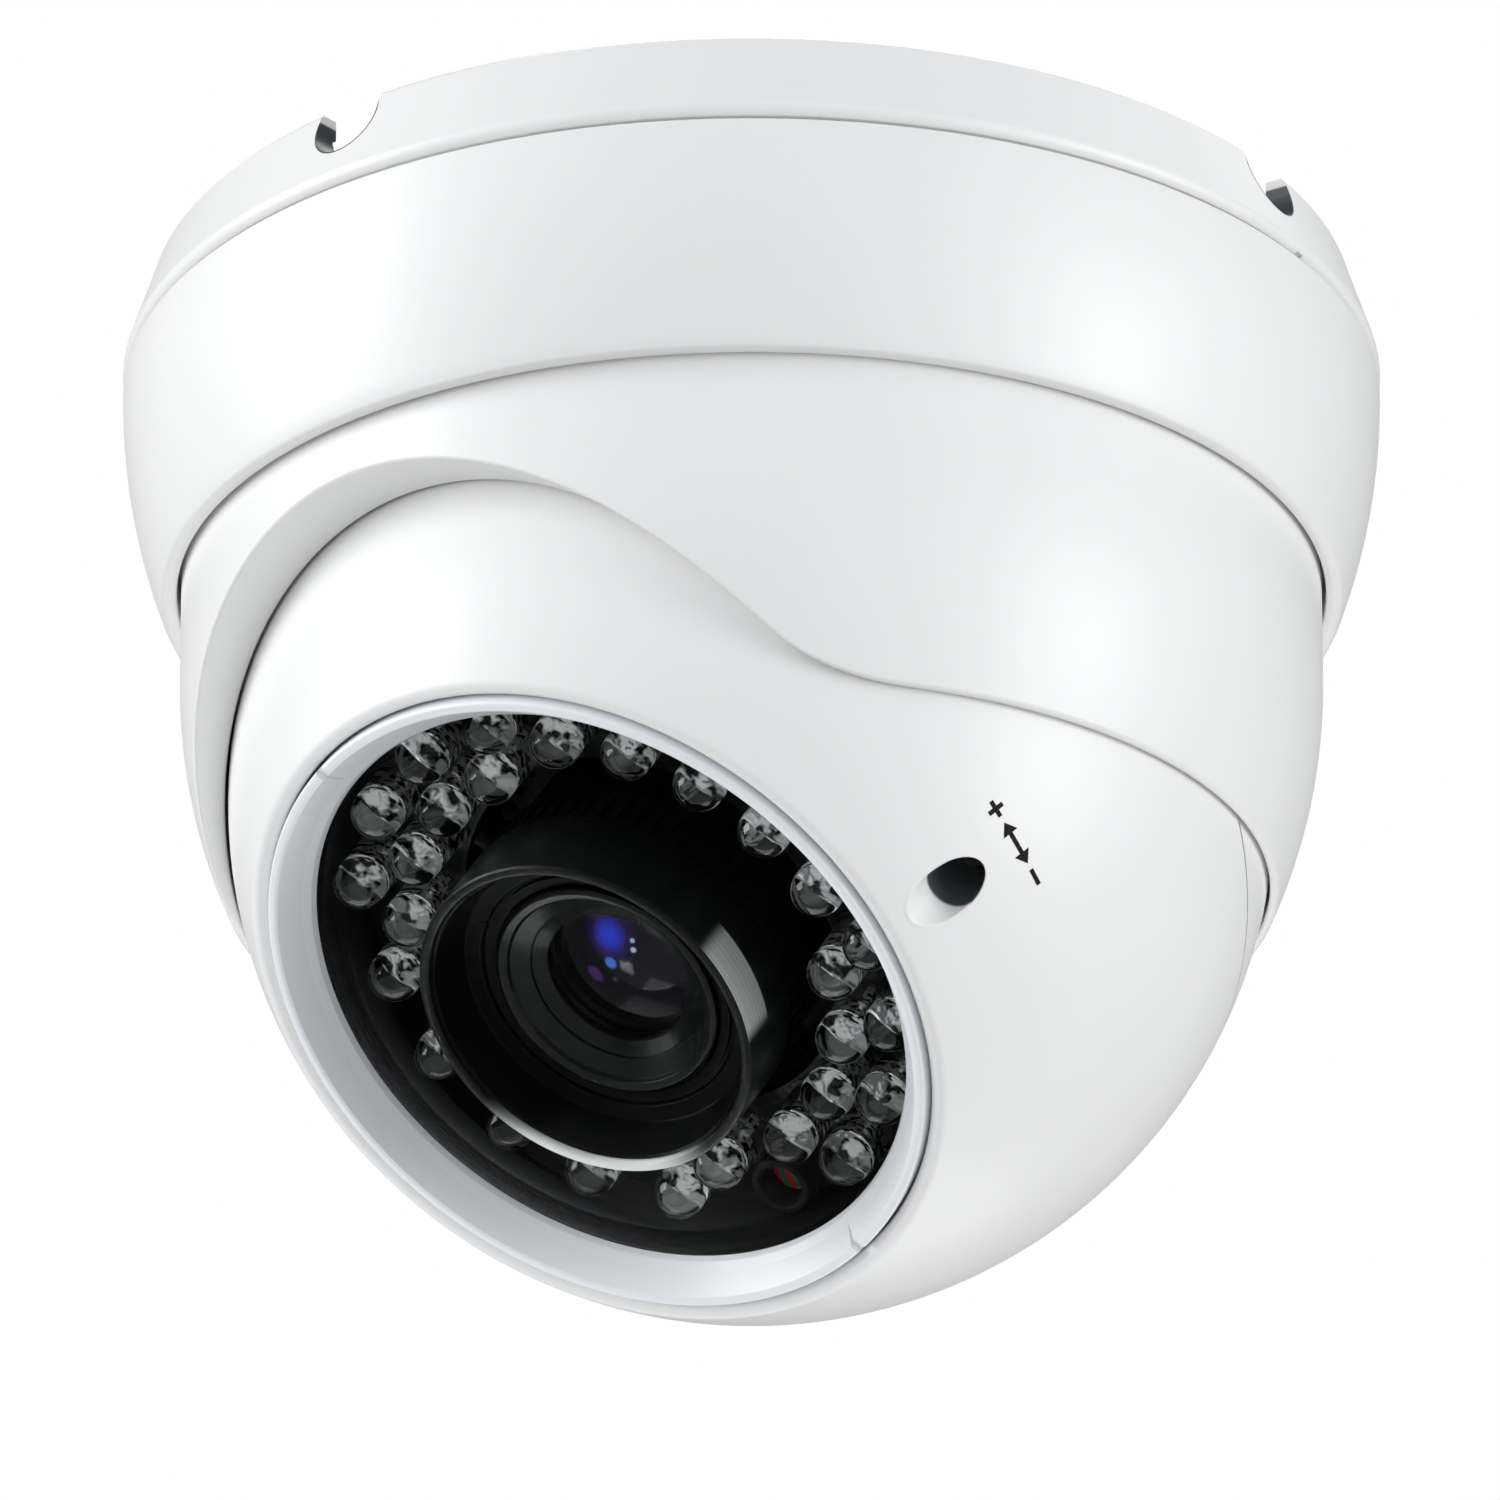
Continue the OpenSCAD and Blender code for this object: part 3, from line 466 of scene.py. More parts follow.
def felt(name):
    """Pressed fibres: noise drawn out in one direction over a finer one."""
    f = Finish(name)
    fibres = f.noise(900, 4, 0.7, (1, 0.25, 1))
    f.look(f.ramp(fibres, (0.3, (0.05, 0.05, 0.05)), (0.7, (0.16, 0.16, 0.155))), normal=f.bump(fibres, 0.12, 0.8))
    f.set(Roughness=0.95, Sheen_Weight=0.3)
    return f.material


def photocell_track(name):
    """The cell's red track winds between green lands, under a clear coat."""
    f = Finish(name)
    wave = f.add("ShaderNodeTexWave", {"Scale": 300, "Distortion": 1.5, "Vector": f.facing_window(twist=0.6)})
    f.look(f.ramp(wave.outputs["Fac"], (0.45, (0.45, 0.01, 0.02)), (0.6, (0.02, 0.14, 0.08))))
    f.set(Roughness=0.3, Coat_Weight=1.0, Coat_Roughness=0.05)
    return f.material


def printed_ink(name):
    """Black ink, a little uneven."""
    f = Finish(name)
    f.look(f.ramp(f.noise(1500, 2), (0.3, (0.003, 0.003, 0.003)), (0.7, (0.009, 0.009, 0.009))))
    f.set(Roughness=0.6, Specular_IOR_Level=0.2)
    return f.material


def pale_floor(name):
    """A pale floor, lit a little from itself so that it shows pale from above."""
    f = Finish(name)
    f.look(f.ramp(f.noise(3, 3), (0.3, (0.8, 0.8, 0.8)), (0.7, (0.86, 0.86, 0.86))))
    f.set(Roughness=0.7, Emission_Color=(1, 1, 1, 1), Emission_Strength=0.14)
    return f.material


# ---------- settings ----------


class HousingSettings(bpy.types.PropertyGroup):
    """Sizes and colour of the painted housing."""

    paint: bpy.props.FloatVectorProperty(
        name="Paint", description="Colour of the powder coat", subtype="COLOR", size=3, min=0, max=1,
        default=(0.885, 0.885, 0.885))
    bezel_paint: bpy.props.FloatVectorProperty(
        name="Bezel", description="Colour of the window bezel", subtype="COLOR", size=3, min=0, max=1,
        default=(0.88, 0.9, 0.94))
    ball_r: bpy.props.FloatProperty(
        name="Ball radius", description="Radius of the eyeball", unit="LENGTH", subtype="DISTANCE",
        default=49.3 * MM)
    collar_r: bpy.props.FloatProperty(
        name="Collar radius", description="Radius of the pan collar", unit="LENGTH", subtype="DISTANCE",
        default=54 * MM)
    trim_r: bpy.props.FloatProperty(
        name="Trim radius", description="Radius of the trim ring's rounded flank", unit="LENGTH",
        subtype="DISTANCE", default=59.8 * MM)
    edge: bpy.props.FloatProperty(
        name="Edge rounding", description="Rounding of the cut edges", unit="LENGTH", subtype="DISTANCE",
        default=0.75 * MM)


class LightsSettings(bpy.types.PropertyGroup):
    """Sizes of the infrared lights."""

    led_r: bpy.props.FloatProperty(
        name="LED radius", description="Radius of each LED's nose", unit="LENGTH", subtype="DISTANCE",
        default=2.5 * MM)
    seed: bpy.props.IntProperty(
        name="Turn seed", description="Seed of the small differences in how the LEDs are turned", default=7)


class LensSettings(bpy.types.PropertyGroup):
    """Sizes and colours of the lens."""

    hood_r: bpy.props.FloatProperty(
        name="Hood radius", description="Radius of the lens barrel's front", unit="LENGTH", subtype="DISTANCE",
        default=17 * MM)
    # Colour of the painted reflection on the lens core
    coating: bpy.props.FloatVectorProperty(
        name="Coating", description="Colour of the coating's reflection", subtype="COLOR", size=3, min=0, max=1,
        default=(0.05, 0.08, 1.0))


class StageSettings(bpy.types.PropertyGroup):
    """Light and view."""

    key: bpy.props.FloatProperty(
        name="Key light", description="Power of the main soft light", unit="POWER", default=6.3)
    fill: bpy.props.FloatProperty(
        name="Surroundings", description="Brightness of the soft light from all round", default=0.84)
    azimuth: bpy.props.FloatProperty(
        name="Azimuth", description="Where the camera stands round the object, in degrees", default=44.387)
    elevation: bpy.props.FloatProperty(
        name="Elevation", description="Height of the camera above the horizon, in degrees", default=-24.65)


# ---------- housing ----------


class CAMERA_OT_trim_ring(bpy.types.Operator):
    """Trim ring: a slice of a ball with a rounded lip"""

    bl_idname = "dome_camera.trim_ring"
    bl_label = "Trim ring"

    def execute(self, context):
        s = context.scene.dome_housing
        r = s.trim_r / MM
        top, centre, low, bore = -9.8, -10.2, -30.4, 54.4
        end = math.degrees(math.asin((low - centre) / r))
        flank = arc(0, centre, r, 0, end, 24)
        lip = flank[-1]
        profile = np.concatenate([
            rounded([(54.7, top), (r, top), flank[1]], [0.3], 5)[:-1],
            flank[1:],
            rounded([lip, lip + (-0.45, -0.9), (lip[0] - 1.2, low - 1.0), (bore, low - 0.9), (bore, low + 1)],
                    [0.5, 0.6, 0.3], 5)[1:],
            [(bore, -27.0), (55.9, -27.0), (55.9, -13.8), (53.4, -11.4), (53.4, -5.8), (54.7, -5.8)],
        ])
        piece = make_piece("trim_ring_skin", *revolved(profile, 288, place=in_row))
        settle(piece, "base", PAINT["white"], ["trim_ring"])
        return {"FINISHED"}


class CAMERA_OT_pan_collar(bpy.types.Operator):
    """Pan collar with the arch cut out of its front"""

    bl_idname = "dome_camera.pan_collar"
    bl_label = "Pan collar"

    def execute(self, context):
        s = context.scene.dome_housing
        outer_r, seat_r, bulge = s.collar_r / MM, 49.6, 12.0
        rim, top, seat_top = -9.7, 25.3, 22.9
        arch_r, arch_z, blend = 42.5, -26.9, 7.0

        def outer(z):
            return np.sqrt(outer_r**2 - np.minimum(z - bulge, 0) ** 2)

        def inner(z):
            return np.sqrt(seat_r**2 - z**2)

        # Edge of the cut, seen along the heading: arch, blend, then the rim round to the back
        blend_z = rim + blend
        blend_x = math.sqrt((arch_r + blend) ** 2 - (blend_z - arch_z) ** 2)
        touch = math.atan2(blend_z - arch_z, blend_x)
        a = np.linspace(math.pi / 2, touch, 44)[:-1]
        b = np.linspace(touch + math.pi, 1.5 * math.pi, 12)
        x = np.concatenate([arch_r * np.cos(a), blend_x + blend * np.cos(b)])
        z = np.concatenate([arch_z + arch_r * np.sin(a), blend_z + blend * np.sin(b)])
        out_turn, in_turn = np.arcsin(x / outer(z)), np.arcsin(x / inner(z))
        back = np.linspace(0, 1, 48)[1:]
        out_turn = np.append(out_turn, out_turn[-1] + (math.pi - out_turn[-1]) * back)
        in_turn = np.append(in_turn, in_turn[-1] + (math.pi - in_turn[-1]) * back)
        edge = np.append(z, np.full(len(back), rim))

        def both_sides(v, sign):
            return np.concatenate([v, sign * v[-2:0:-1]])

        out_turn, in_turn, edge = both_sides(out_turn, -1), both_sides(in_turn, -1), both_sides(edge, 1)
        up = np.linspace(0, 1, 15)
        out_z = edge[:, None] + (top - edge[:, None]) * up
        in_z = edge[:, None] + (seat_top - edge[:, None]) * up[::-1]
        steps = np.array([(55.6, top), (55.6, top + 2), (51.0, top + 2), (51.0, seat_top)])
        count = len(edge)
        turn_in = out_turn[:, None] + (in_turn - out_turn)[:, None] * (1 - up[::-1])
        turn = np.concatenate([np.tile(out_turn[:, None], (1, 15 + len(steps))), turn_in], axis=1)
        radius = np.concatenate([outer(out_z), np.tile(steps[:, 0], (count, 1)), inner(in_z)], axis=1)
        height = np.concatenate([out_z, np.tile(steps[:, 1], (count, 1)), in_z], axis=1)
        grid = np.stack([radius * np.sin(turn), -radius * np.cos(turn), height + BALL[2]], axis=-1)
        faces = quads(count, grid.shape[1], True, True)
        piece = make_piece("pan_collar_skin", in_row(grid), faces)
        soften(piece, s.edge / MM)
        settle(piece, "pan", PAINT["white"], ["pan_collar"])
        return {"FINISHED"}


def square_to_round(a, b, hole, half, kept=8 / 12):
    """Turns square rings round a block's centre into circles: the ring at kept of the block's half width becomes
    the hole's circle, and the outermost ring stays square. a and b run from -1 to 1."""
    m = np.maximum(np.abs(a), np.abs(b))
    reach = np.interp(m, [0, kept, 1], [0, hole / half, 1])
    length = np.maximum(np.hypot(a, b), 1e-9)
    w = np.clip((1 - m) / (1 - kept), 0, 1)
    return (w * reach * a / length + (1 - w) * a) * half, (w * reach * b / length + (1 - w) * b) * half


class CAMERA_OT_front_shell(bpy.types.Operator):
    """Front half of the eyeball, with its window seat and the two access holes"""

    bl_idname = "dome_camera.front_shell"
    bl_label = "Front shell"

    def execute(self, context):
        ball = context.scene.dome_housing.ball_r / MM
        inside, parting, seat_r = 45.5, -4.15, 33.95
        place_r = float(np.hypot(*ACCESS_PLACE))
        place_turn = math.atan2(ACCESS_PLACE[1], ACCESS_PLACE[0])
        half, cells, boss_foot, boss_wall = 3.45, 24, 22.2, 0.7
        lip = 1.0
        lip_r = seat_r + lip
        lip_z = math.sqrt((ball - lip) ** 2 - lip_r**2)
        lip_angle = math.degrees(math.atan2(lip_z, lip_r))

        side = np.linspace(-1, 1, cells + 1)
        block_r = place_r + half * side[::-1]
        polar = np.arccos(parting / ball), np.arcsin(block_r[0] / ball)
        flank_r = ball * np.sin(np.linspace(*polar, 20)[:-1])
        flank_z = ball * np.cos(np.linspace(*polar, 20)[:-1])
        block_z = np.sqrt(ball**2 - block_r**2)
        mouth = arc(lip_r, lip_z, lip, lip_angle, 180, 8)
        seat = np.array([(seat_r, 28.9), (31.0, 28.9), (31.0, 26.5), (35.5, 26.5)])
        in_r = block_r[::-1]
        in_z = np.sqrt(inside**2 - in_r**2)
        in_polar = np.linspace(np.arcsin(in_r[-1] / inside), np.arccos(parting / inside), 10)[1:]
        r = np.concatenate([flank_r, block_r, mouth[:, 0], seat[:, 0], in_r, inside * np.sin(in_polar)])
        z = np.concatenate([flank_z, block_z, mouth[:, 1], seat[:, 1], in_z, inside * np.cos(in_polar)])
        rows = len(r)
        out_rows = len(flank_r) + np.arange(cells + 1)[::-1]
        in_rows = rows - len(in_polar) - len(in_r) + np.arange(cells + 1)

        span = half / place_r
        centres = [place_turn, math.pi - place_turn]
        blocks = [c + span * side for c in centres]
        between = [np.linspace(blocks[0][-1], blocks[1][0], 62)[1:-1],
                   np.linspace(blocks[1][-1], blocks[0][0] + TAU, 58)[1:-1]]
        turn = np.concatenate([blocks[0], between[0], blocks[1], between[1]])
        starts = [0, cells + 1 + len(between[0])]
        count = len(turn)
        grid = np.stack([np.outer(np.cos(turn), r), np.outer(np.sin(turn), r), np.tile(z, (count, 1))], axis=-1)
        keep = np.ones((count, rows), bool)
        rings = []
        cut = cells // 6
        for start, centre, sign in zip(starts, centres, (1, -1)):
            cols = start + np.arange(cells + 1)
            a, b = np.meshgrid(side, side, indexing="ij")
            out_dir = np.array([math.cos(centre), math.sin(centre)])
            tangent = np.array([-out_dir[1], out_dir[0]])
            flat_turn = centre + span * a
            flat_r = place_r + half * b
            loops = []
            for rows_here, hole, sphere in (
                    (out_rows, ACCESS_R + 0.25, ball), (in_rows, ACCESS_R + boss_wall, inside)):
                t, q = square_to_round(a, b, hole, half)
                m = np.clip((1 - np.maximum(np.abs(a), np.abs(b))) * 3, 0, 1)[..., None]
                straight = (place_r + q)[..., None] * out_dir + t[..., None] * tangent
                turned = np.stack([flat_r * np.cos(flat_turn), flat_r * np.sin(flat_turn)], axis=-1)
                plan = m * straight + (1 - m) * turned
                depth = np.sqrt(sphere**2 - (plan**2).sum(axis=-1))
                grid[np.ix_(cols, rows_here)] = np.concatenate([plan, depth[..., None]], axis=-1)
                inner_cols, inner_rows = cols[cut:-cut], rows_here[cut:-cut]
                keep[np.ix_(inner_cols[:-1], np.minimum(inner_rows[:-1], inner_rows[1:]))] = False
                c, w = inner_cols * rows, inner_rows
                loops.append(np.concatenate([c[:-1] + w[0], c[-1] + w[:-1], c[:0:-1] + w[-1], c[0] + w[:0:-1]]))
            rings.append((loops, np.append(out_dir * place_r, 0)))
        points = [grid.reshape(-1, 3)]
        faces = quads(count, rows, True, True, keep).tolist()
        total = count * rows
        flat = points[0]

        def bridge(a, b):
            """Faces between two rings of the same number of vertices."""
            return np.stack([a, np.roll(a, -1), np.roll(b, -1), b], axis=1).tolist()

        for (outer_loop, inner_loop), axis in rings:
            rim = flat[outer_loop]
            away = (rim - axis)[:, :2]
            away /= np.linalg.norm(away, axis=1, keepdims=True)
            sunk = [(grow, rim[:, 2:] - sink) for grow, sink in ((0.1, 0.07), (0.02, 0.2), (0, 0.45))]
            boss = [(grow, np.full((len(away), 1), boss_foot)) for grow in (0, boss_wall)]
            previous = outer_loop
            for grow, height in sunk + boss:
                ring = np.concatenate([axis[:2] + away * (ACCESS_R + grow), height], axis=1)
                here = total + np.arange(len(ring))
                faces += bridge(previous, here)
                points.append(ring)
                previous = here
                total += len(ring)
            faces += bridge(previous, inner_loop)
        piece = make_piece("front_shell_skin", in_window(np.concatenate(points)), faces)
        settle(piece, "head", PAINT["shell"], ["front_shell"])
        return {"FINISHED"}


class CAMERA_OT_bezel(bpy.types.Operator):
    """Window bezel: a screwed ring with a sloped inside and two spanner notches"""

    bl_idname = "dome_camera.bezel"
    bl_label = "Window bezel"

    def execute(self, context):
        r, face, foot, opening = 33.7, 34.8, 31.25, 30.3
        profile = rounded(
            [(opening, foot), (opening + 0.25, foot + 0.6), (opening + 0.9, foot + 1.35), (32.7, face - 0.1),
             (33.0, face), (r, face), (r, foot), (opening, foot)],
            [0.2, 0.8, 0.25, 0.2, 0.45, 0.2], 5)[:-1]
        notch_half, notch_floor = 0.55, face - 0.75
        turn = np.arange(240) / 240 * TAU
        low = np.zeros(len(turn), bool)
        for centre in np.radians([108.6, -73.5 + 360]):
            span = notch_half / r
            here = np.abs(turn - centre) > 2.5 * span
            turn, low = turn[here], low[here]
            cut = centre + span * np.array([-1, -1, 1, 1])
            turn = np.concatenate([turn, cut])
            low = np.concatenate([low, [False, True, True, False]])
            order = np.argsort(turn, kind="stable")
            turn, low = turn[order], low[order]
        height = np.where(low[:, None], np.minimum(profile[:, 1], notch_floor), profile[:, 1])
        radius = np.tile(profile[:, 0], (len(turn), 1))
        grid = np.stack([radius * np.cos(turn)[:, None], radius * np.sin(turn)[:, None], height], axis=-1)
        piece = make_piece("bezel_ring", in_window(grid), quads(len(turn), len(profile), True, True))
        settle(piece, "head", PAINT["bezel"], ["window_bezel"])
        return {"FINISHED"}


class CAMERA_OT_marks(bpy.types.Operator):
    """Printed marks beside the access holes: minus, a double arrow and plus"""

    bl_idname = "dome_camera.marks"
    bl_label = "Printed marks"

    def execute(self, context):
        ball = context.scene.dome_housing.ball_r / MM + 0.03

        def patch(corners, across=9):
            """A patch between four corners of the mark's plane: the point at (u, v) is the blend of the corners."""
            u, v = np.meshgrid(np.linspace(0, 1, across), np.linspace(0, 1, across), indexing="ij")
            c = np.asarray(corners, float)
            u, v = u[..., None], v[..., None]
            return (c[0] * (1 - u) + c[1] * u) * (1 - v) + (c[3] * (1 - u) + c[2] * u) * v

        def bar(x0, y0, x1, y1):
            return [(x0, y0), (x1, y0), (x1, y1), (x0, y1)]

        shapes = [
            bar(-4.7, -0.22, -3.0, 0.22),
            bar(-1.1, -0.22, 1.1, 0.22),
            [(-2.3, 0), (-1.1, -0.85), (-1.1, 0.85), (-2.3, 0)],
            [(2.3, 0), (1.1, -0.85), (1.1, 0.85), (2.3, 0)],
            bar(3.0, -0.22, 4.7, 0.22),
            bar(3.63, -0.85, 4.07, -0.22),
            bar(3.63, 0.22, 4.07, 0.85),
        ]
        lean, turn = math.radians(62.6), math.radians(6.5)
        for name, spin in (("zoom_mark", -turn), ("focus_mark", math.pi + turn)):
            out = np.array([math.cos(spin), math.sin(spin), 0])
            normal = out * math.sin(lean) + np.array([0, 0, math.cos(lean)])
            along = np.array([-math.sin(spin), math.cos(spin), 0])
            across = np.cross(normal, along)
            parts = []
            for corners in shapes:
                p = patch(corners)
                # Each point of the mark's plane is drawn in towards the ball's centre until it lies on the ball
                q = p[..., :1] * along + p[..., 1:] * across + normal * ball
                q *= ball / np.linalg.norm(q, axis=-1, keepdims=True)
                n = p.shape[0]
                parts.append((in_window(q), quads(n, n, False, False)))
            piece = make_piece(name, *joined(parts))
            thick = piece.modifiers.new("ink", "SOLIDIFY")
            thick.thickness = 0.025 * MM
            thick.offset = -1
            settle(piece, "head", PAINT["ink"])
        return {"FINISHED"}


# ---------- window and lights ----------


class CAMERA_OT_window(bpy.types.Operator):
    """Clear domed window with its flange under the bezel"""

    bl_idname = "dome_camera.window"
    bl_label = "Window"

    def execute(self, context):
        outer, inner, edge_r = 47.0, 45.4, 30.25
        rise = math.degrees(math.acos(edge_r / outer))
        in_base = 29.7 - WINDOW_CENTRE
        in_rise = math.degrees(math.asin(in_base / inner))
        profile = np.concatenate([
            arc(0, WINDOW_CENTRE, outer, 90, rise, 30),
            [(33.3, 31.15), (33.3, 29.7)],
            arc(0, WINDOW_CENTRE, inner, in_rise, 90, 30),
        ])
        profile[0, 0] = profile[-1, 0] = 0
        piece = make_piece("window_skin", *revolved(profile, 144, wrap_rows=False))
        settle(piece, "head", PAINT["window"], ["window_dome"])
        return {"FINISHED"}


def led_places():
    """Turn in degrees and radius of every LED, counted from the pattern's line of symmetry."""
    near = [(a, 25.0) for a in range(-34, 35, 17)]
    outer = [(s * (48.5 + 19 * i), 27.2) for i in range(4) for s in (-1, 1)]
    inner = [(s * (55.5 + 19 * i), 22.3) for i in range(4) for s in (-1, 1)]
    far = [(149, 25.3), (170, 25.3), (-149, 25.3), (-170, 25.3), (128, 25.3)]
    places = np.array(near + outer + inner + [(-136, 22.2)] + far)
    turn = np.radians(LED_TURN + places[:, 0])
    return np.stack([places[:, 1] * np.cos(turn), places[:, 1] * np.sin(turn)], axis=1)


def repeated(points, faces, places, spins):
    """Copies of one shape, each turned about its own upright axis by its spin and moved to its place."""
    points = np.asarray(points, float).reshape(-1, 3)
    c, s = np.cos(spins)[:, None], np.sin(spins)[:, None]
    x = points[:, 0] * c - points[:, 1] * s + places[:, :1]
    y = points[:, 0] * s + points[:, 1] * c + places[:, 1:]
    z = np.tile(points[:, 2], (len(places), 1))
    first = np.arange(len(places))[:, None, None] * len(points)
    return np.stack([x, y, z], axis=-1).reshape(-1, 3), (np.asarray(faces)[None] + first).reshape(-1, 4)


def box_shape(x0, x1, y0, y1, z0, z1, taper=1.0):
    """A block whose top is taper times as wide as its foot."""
    cx, cy = (x0 + x1) / 2, (y0 + y1) / 2
    foot = np.array([(x0, y0), (x1, y0), (x1, y1), (x0, y1)])
    head = (foot - (cx, cy)) * taper + (cx, cy)
    points = np.concatenate([np.c_[foot, np.full(4, z0)], np.c_[head, np.full(4, z1)]])
    faces = np.array([(3, 2, 1, 0), (4, 5, 6, 7), (0, 1, 5, 4), (1, 2, 6, 5), (2, 3, 7, 6), (3, 0, 4, 7)])
    return points, faces


def same(points):
    """Leaves points where they are, for a shape that is placed later."""
    return np.asarray(points, float)


class CAMERA_OT_leds(bpy.types.Operator):
    """Infrared LEDs: clear noses with a cup, a chip and two posts in each"""

    bl_idname = "dome_camera.leds"
    bl_label = "LEDs"

    def execute(self, context):
        s = context.scene.dome_lights
        r = s.led_r / MM
        foot, nose = LED_FOOT, 28.0
        places = led_places()
        spins = np.random.default_rng(s.seed).uniform(-0.5, 0.5, len(places)) + math.radians(LED_TURN)
        body = np.concatenate([
            [(0, foot), (r + 0.35, foot), (r + 0.35, foot + 0.95), (r, foot + 1.0)],
            arc(0, nose, r, 0, 90, 9),
        ])
        body[-1, 0] = 0
        shape = repeated(*revolved(body, 28, False, same), places, spins)
        lens = make_piece("led_noses", in_window(shape[0]), shape[1])
        settle(lens, "head", PAINT["led"], ["ir_leds"])

        cup = [(0, 24.2), (0.9, 24.2), (1.0, 25.0), (1.65, 26.5), (1.5, 26.55), (0.6, 25.5), (0, 25.5)]
        parts = [
            revolved(cup, 18, False, same),
            box_shape(-1.6, -0.3, -0.4, 0.4, foot + 0.1, 24.3),
            box_shape(0.9, 1.7, -0.45, 0.45, foot + 0.1, 24.6, 0.8),
            box_shape(-1.9, -1.7, -0.9, 0.9, 23.0, 26.0, 0.6),
            box_shape(-0.25, 0.25, -0.25, 0.25, 25.48, 25.75),
        ]
        points, faces = joined(parts)
        shape = repeated(points, np.array(faces), places, spins)
        metal = make_piece("led_frames", in_window(shape[0]), shape[1])
        settle(metal, "head", PAINT["led_frame"])
        return {"FINISHED"}


class CAMERA_OT_photocell(bpy.types.Operator):
    """Photocell in its black tube"""

    bl_idname = "dome_camera.photocell"
    bl_label = "Photocell"

    def execute(self, context):
        cell_r, turn, foot = 27.0, math.radians(LED_TURN - 128), LED_FOOT
        place = np.array([[cell_r * math.cos(turn), cell_r * math.sin(turn)]])
        wall = rounded([(2.2, foot), (3.0, foot), (3.0, foot + 4.4), (2.2, foot + 4.4), (2.2, foot)],
                       [0.05, 0.25, 0.25], 4)[:-1]
        shape = repeated(*revolved(wall, 40, True, same), place, np.zeros(1))
        tube = make_piece("photocell_sleeve", in_window(shape[0]), shape[1])
        settle(tube, "head", PAINT["black_plastic"], ["photocell_tube"])
        top = foot + 1.8
        cell = rounded([(0, foot), (2.1, foot), (2.1, top), (1.5, top + 0.12), (0, top + 0.2)], [0.05, 0.3, 0.3], 4)
        shape = repeated(*revolved(cell, 32, False, same), place, np.zeros(1))
        eye = make_piece("photocell_eye", in_window(shape[0]), shape[1])
        settle(eye, "head", PAINT["photocell"], ["photocell"])
        return {"FINISHED"}


# ---------- lens ----------


class CAMERA_OT_lens(bpy.types.Operator):
    """Lens front: hood, stepped throat, retaining ring, and coated glass over a core with painted reflections"""

    bl_idname = "dome_camera.lens"
    bl_label = "Lens front"

    def execute(self, context):
        r = context.scene.dome_lens.hood_r / MM
        foot, rim = 28.3, 36.8
        wall = rounded(
            [(15.9, foot), (r, foot), (r, rim), (16.02, rim), (15.9, rim - 0.6), (15.9, foot)],
            [0.25, 0.45, 0.45, 0.1], 6)[:-1]
        hood = make_piece("lens_hood", *revolved(wall, 224))
        settle(hood, "focus_ring", PAINT["hood"], ["front_barrel"])
        throat = rounded(
            [(9, 24.3), (12.9, 24.3), (12.9, foot), (15.85, foot), (15.85, rim - 0.55), (15.6, rim - 0.75),
             (14.6, 31.9), (12.9, 31.8), (12.9, 31.3), (12.5, 31.3), (12.5, 31.7), (11.5, 31.6), (11.5, 30.2),
             (7.45, 28.9), (7.45, 26.5), (6.8, 26.2), (6.8, 24.3), (9, 24.3)],
            [0, 0, 0, 0, 0.1, 0.3, 0.3, 0.12, 0, 0, 0.12, 0.12, 0, 0.1, 0, 0, 0], 4)[:-1]
        inside = make_piece("lens_throat", *revolved(throat, 160))
        settle(inside, "focus_ring", PAINT["black_throat"])
        ring = rounded(
            [(7.6, 29.1), (11.4, 30.25), (11.4, 32), (10.9, 32.25), (10.25, 32), (10.0, 31.6), (8.4, 30.75),
             (8.3, 30.5), (7.1, 29.75), (6.95, 29.5), (6.95, 29.1), (7.6, 29.1)],
            [0.05, 0.2, 0.2, 0.12, 0.12, 0.1, 0.1, 0.1, 0.1, 0.05], 4)[:-1]
        retainer = make_piece("lens_ring", *revolved(ring, 160))
        settle(retainer, "focus_ring", PAINT["black_ring"], ["element_retainer"])

        def dish(radius, height, bow, back):
            """A lens element: its front is a sphere through the rim that rises by bow, and its back is flat."""
            sphere = (radius**2 + bow**2) / (2 * bow)
            a = np.linspace(math.asin(radius / sphere), 0, 16)
            front = np.stack([sphere * np.sin(a), height + bow - sphere + sphere * np.cos(a)], axis=1)
            front[-1, 0] = 0
            return np.concatenate([[(0, height - back), (radius, height - back)], front])

        glass = make_piece("lens_glass", *revolved(dish(7.35, 28.6, 1.4, 1.2), 96, False))
        settle(glass, "focus_ring", PAINT["front_glass"], ["front_element"])
        # The core's colours are painted reflections and highlights of the lens's coatings
        core = make_piece("lens_core", *revolved(dish(6.75, 25.1, 1.7, 1.0), 96, False))
        settle(core, "focus_ring", PAINT["lens_core"])
        return {"FINISHED"}


# ---------- frame nodes and stage ----------


class CAMERA_OT_frame_finishes(bpy.types.Operator):
    """Materials of the parts that show as they come from the frame"""

    bl_idname = "dome_camera.frame_finishes"
    bl_label = "Frame finishes"

    def execute(self, context):
        by_slot = {
            "white_paint": "white", "seal_rubber": "rubber", "felt": "felt", "nylon": "nylon",
            "spring_steel": "spring_steel", "zinc_steel": "zinc", "clear_cover": "window",
            "black_plastic": "black_plastic", "black_anodised": "black_anodised", "led_epoxy": "led",
            "photocell_face": "photocell", "board_black": "board_black", "board_green": "board_green",
            "brass": "brass", "lens_glass": "front_glass", "sensor_face": "sensor",
            "connector_plastic": "connector",
        }
        slots = {part["node"]: part["material_slot"] for part in frame["record"]["subparts"]}
        for node, part in frame["nodes"].items():
            # The mounting base takes the paint with painted shade in its notches
            material = PAINT["notched" if node == "mounting_base" else by_slot[slots[node]]]
            for slot in part.material_slots:
                slot.material = material
        return {"FINISHED"}


